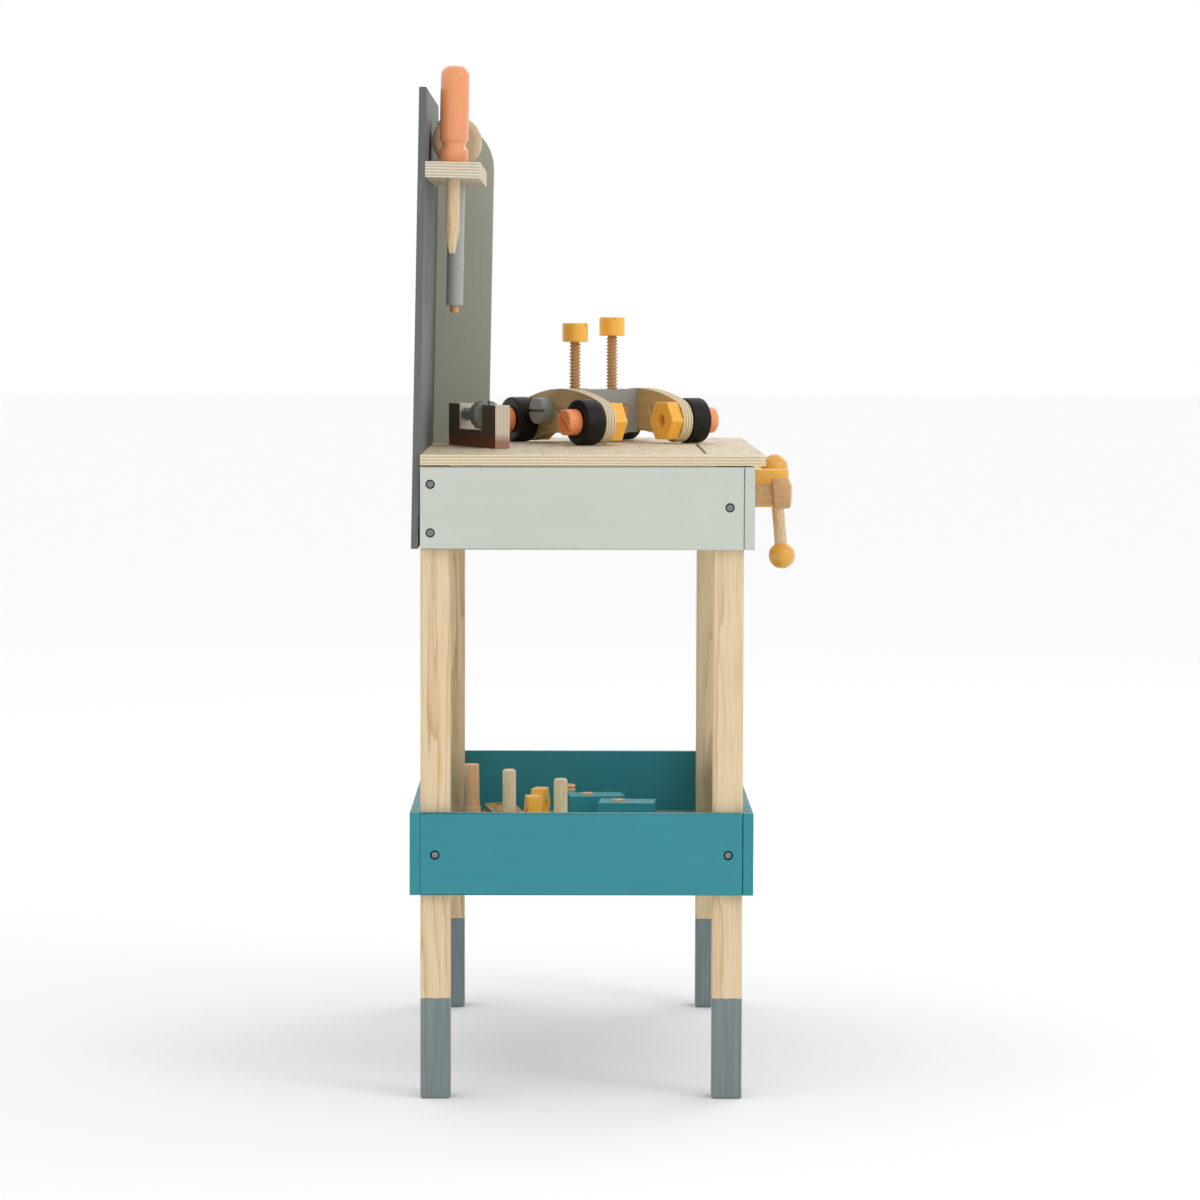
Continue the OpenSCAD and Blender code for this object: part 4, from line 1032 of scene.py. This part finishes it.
def make_truck():
    grey = paint("block_grey", shade(GREY, 1.35), 1, 0.42, place=TRUCK, coat=0.1)
    dress("truck_block", grey, 0.0018)
    dress("truck_rear_block", grey, 0.0016)
    # The nuts take a brightened yellow: painted light
    dress("axle_nuts", paint("nut_yellow", YELLOW_LIT_UP, 1, 0.36, place=TRUCK, coat=0.15), 0.0010)
    dress("axle_bolts", bolt_coral(), 0.0006)
    dress("side_bolts", paint("bolt_grey", shade(GREY, 1.1), 1, 0.42, place=TRUCK, coat=0.1), 0.0006)
    dress("block_stud", wood("stud_beech", 0, BEECH, place=TRUCK, pores=0.6), 0.0005)
    make_upright_screws()


def make_upright_screws():
    """The two wooden screws in the block: helical threads and slotted heads."""
    low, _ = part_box("upright_screws")
    r_head = 0.0114
    thread_wood = wood("screw_beech", 2, BEECH, ring=0.0026, pith=(0.012, 0.01), pores=0.6)
    # The screw heads take a brightened yellow: painted light
    yellow = paint("screw_yellow", YELLOW_LIT_UP, 2, 0.36, coat=0.15)
    tops = [0.1063, 0.1116]
    deck = low.z - 0.0325
    for i, top in enumerate(tops):
        spot = TRUCK @ Vector((BOLT_X, (0.0195, -0.0195)[i], 0))
        at = Matrix.Translation((spot.x, spot.y, deck)) @ Matrix.Rotation(
            math.atan2(-AXLE.x, AXLE.y) + math.radians((25, -25)[i]), 4, "Z")
        bm = bmesh.new()
        thread(bm, 0.0053, 0.0037, 0.003, 0.0326, top - 0.0168, at, 48)
        replaced = ["upright_screws"] if i == 0 else []
        make_piece(f"screw_thread_{i + 1}", bm, thread_wood, "truck", replaced)
        bm = bmesh.new()
        sawn_head(bm, r_head, top - 0.017, top - 0.0003, at)
        make_piece(f"screw_head_{i + 1}", bm, yellow, "truck", [])


def sawn_head(bm, r, z0, z1, at, slot_w=0.0024, slot_d=0.003, rim=0.0011):
    """A round head with a slot across its top, made as rings that dip where the slot passes."""
    half = slot_w / 2
    gap = math.asin(half / r)
    angles = []
    for side in (0, math.pi):
        start, end = side + gap, side + math.pi - gap
        angles += [start + (end - start) * k / 36 for k in range(37)]
    for body in (0, 1):
        ring = angles[body * 37:(body + 1) * 37]
        levels = [(r, z1 - slot_d), (r, z1 - rim)]
        levels += [(r - rim * (1 - math.cos(math.pi / 2 * k / 4)),
                    z1 - rim * (1 - math.sin(math.pi / 2 * k / 4))) for k in range(1, 5)]
        rows = [[bm.verts.new(at @ Vector((rr * math.cos(a), rr * math.sin(a), z))) for a in ring]
                for rr, z in levels]
        for a, b in zip(rows, rows[1:]):
            for i in range(len(ring) - 1):
                bm.faces.new((a[i], a[i + 1], b[i + 1], b[i]))
            bm.faces.new((a[0], b[0], b[-1], a[-1]))
        bm.faces.new(rows[-1])
        bm.faces.new(rows[0])
    spin(bm, [(0, z0), (r - 0.0006, z0), (r, z0 + 0.0006), (r, z1 - slot_d), (0, z1 - slot_d)],
         96, at)


def make_loose_pieces():
    dress("beam_bolt", paint("beam_bolt_grey", shade(GREY, 1.05), 0, 0.42), 0.0012)
    # The tray's pieces take brightened tones, its nuts a brightened yellow and its blocks a brightened
    # teal: painted light for light the deep tray keeps from them
    dress("stepped_peg", wood("step_beech", 2, TRAY_BEECH_LIT, seed=2.0, pores=0.6), 0.0009)
    dress("tray_nails", wood("nail_lime", 2, TRAY_LIME_LIT, seed=4.0, pores=0.3), 0.0009)
    dress("tray_nuts", paint("tray_nut_yellow", YELLOW_LIT_UP, 0, 0.38, coat=0.1), 0.0010)
    dress("tray_blocks", paint("tray_block_teal", shade(TEAL, 1.25), 1, 0.42), 0.0020)
    dress("tray_inserts", wood("insert_beech", 2, TRAY_BEECH_LIT, seed=7.0, pores=0.6), 0.0004)
    dress("tray_screw", wood("tray_screw_beech", 2, TRAY_BEECH_LIT, seed=9.0, pores=0.6), 0.0003)


def make_screws():
    steel = screw_steel("screw_steel")
    for node in ("side_screws", "front_screws", "back_screws", "board_screws"):
        dress(node, steel, 0.0003)


make_camera()
make_world()
make_floor()
make_light("key", place=(-2.2, -2.6, 2.4), aim=(0, 0, 0.5), size=1.3, power=16)
make_light("rim", place=(2.4, -1.8, 2.2), aim=(0, 0, 0.5), size=1.6, power=9)
make_legs()
make_boards()
make_plywood()
make_vise()
make_peg()
make_screwdrivers()
make_hammer()
make_wheels()
make_truck()
make_loose_pieces()
make_screws()
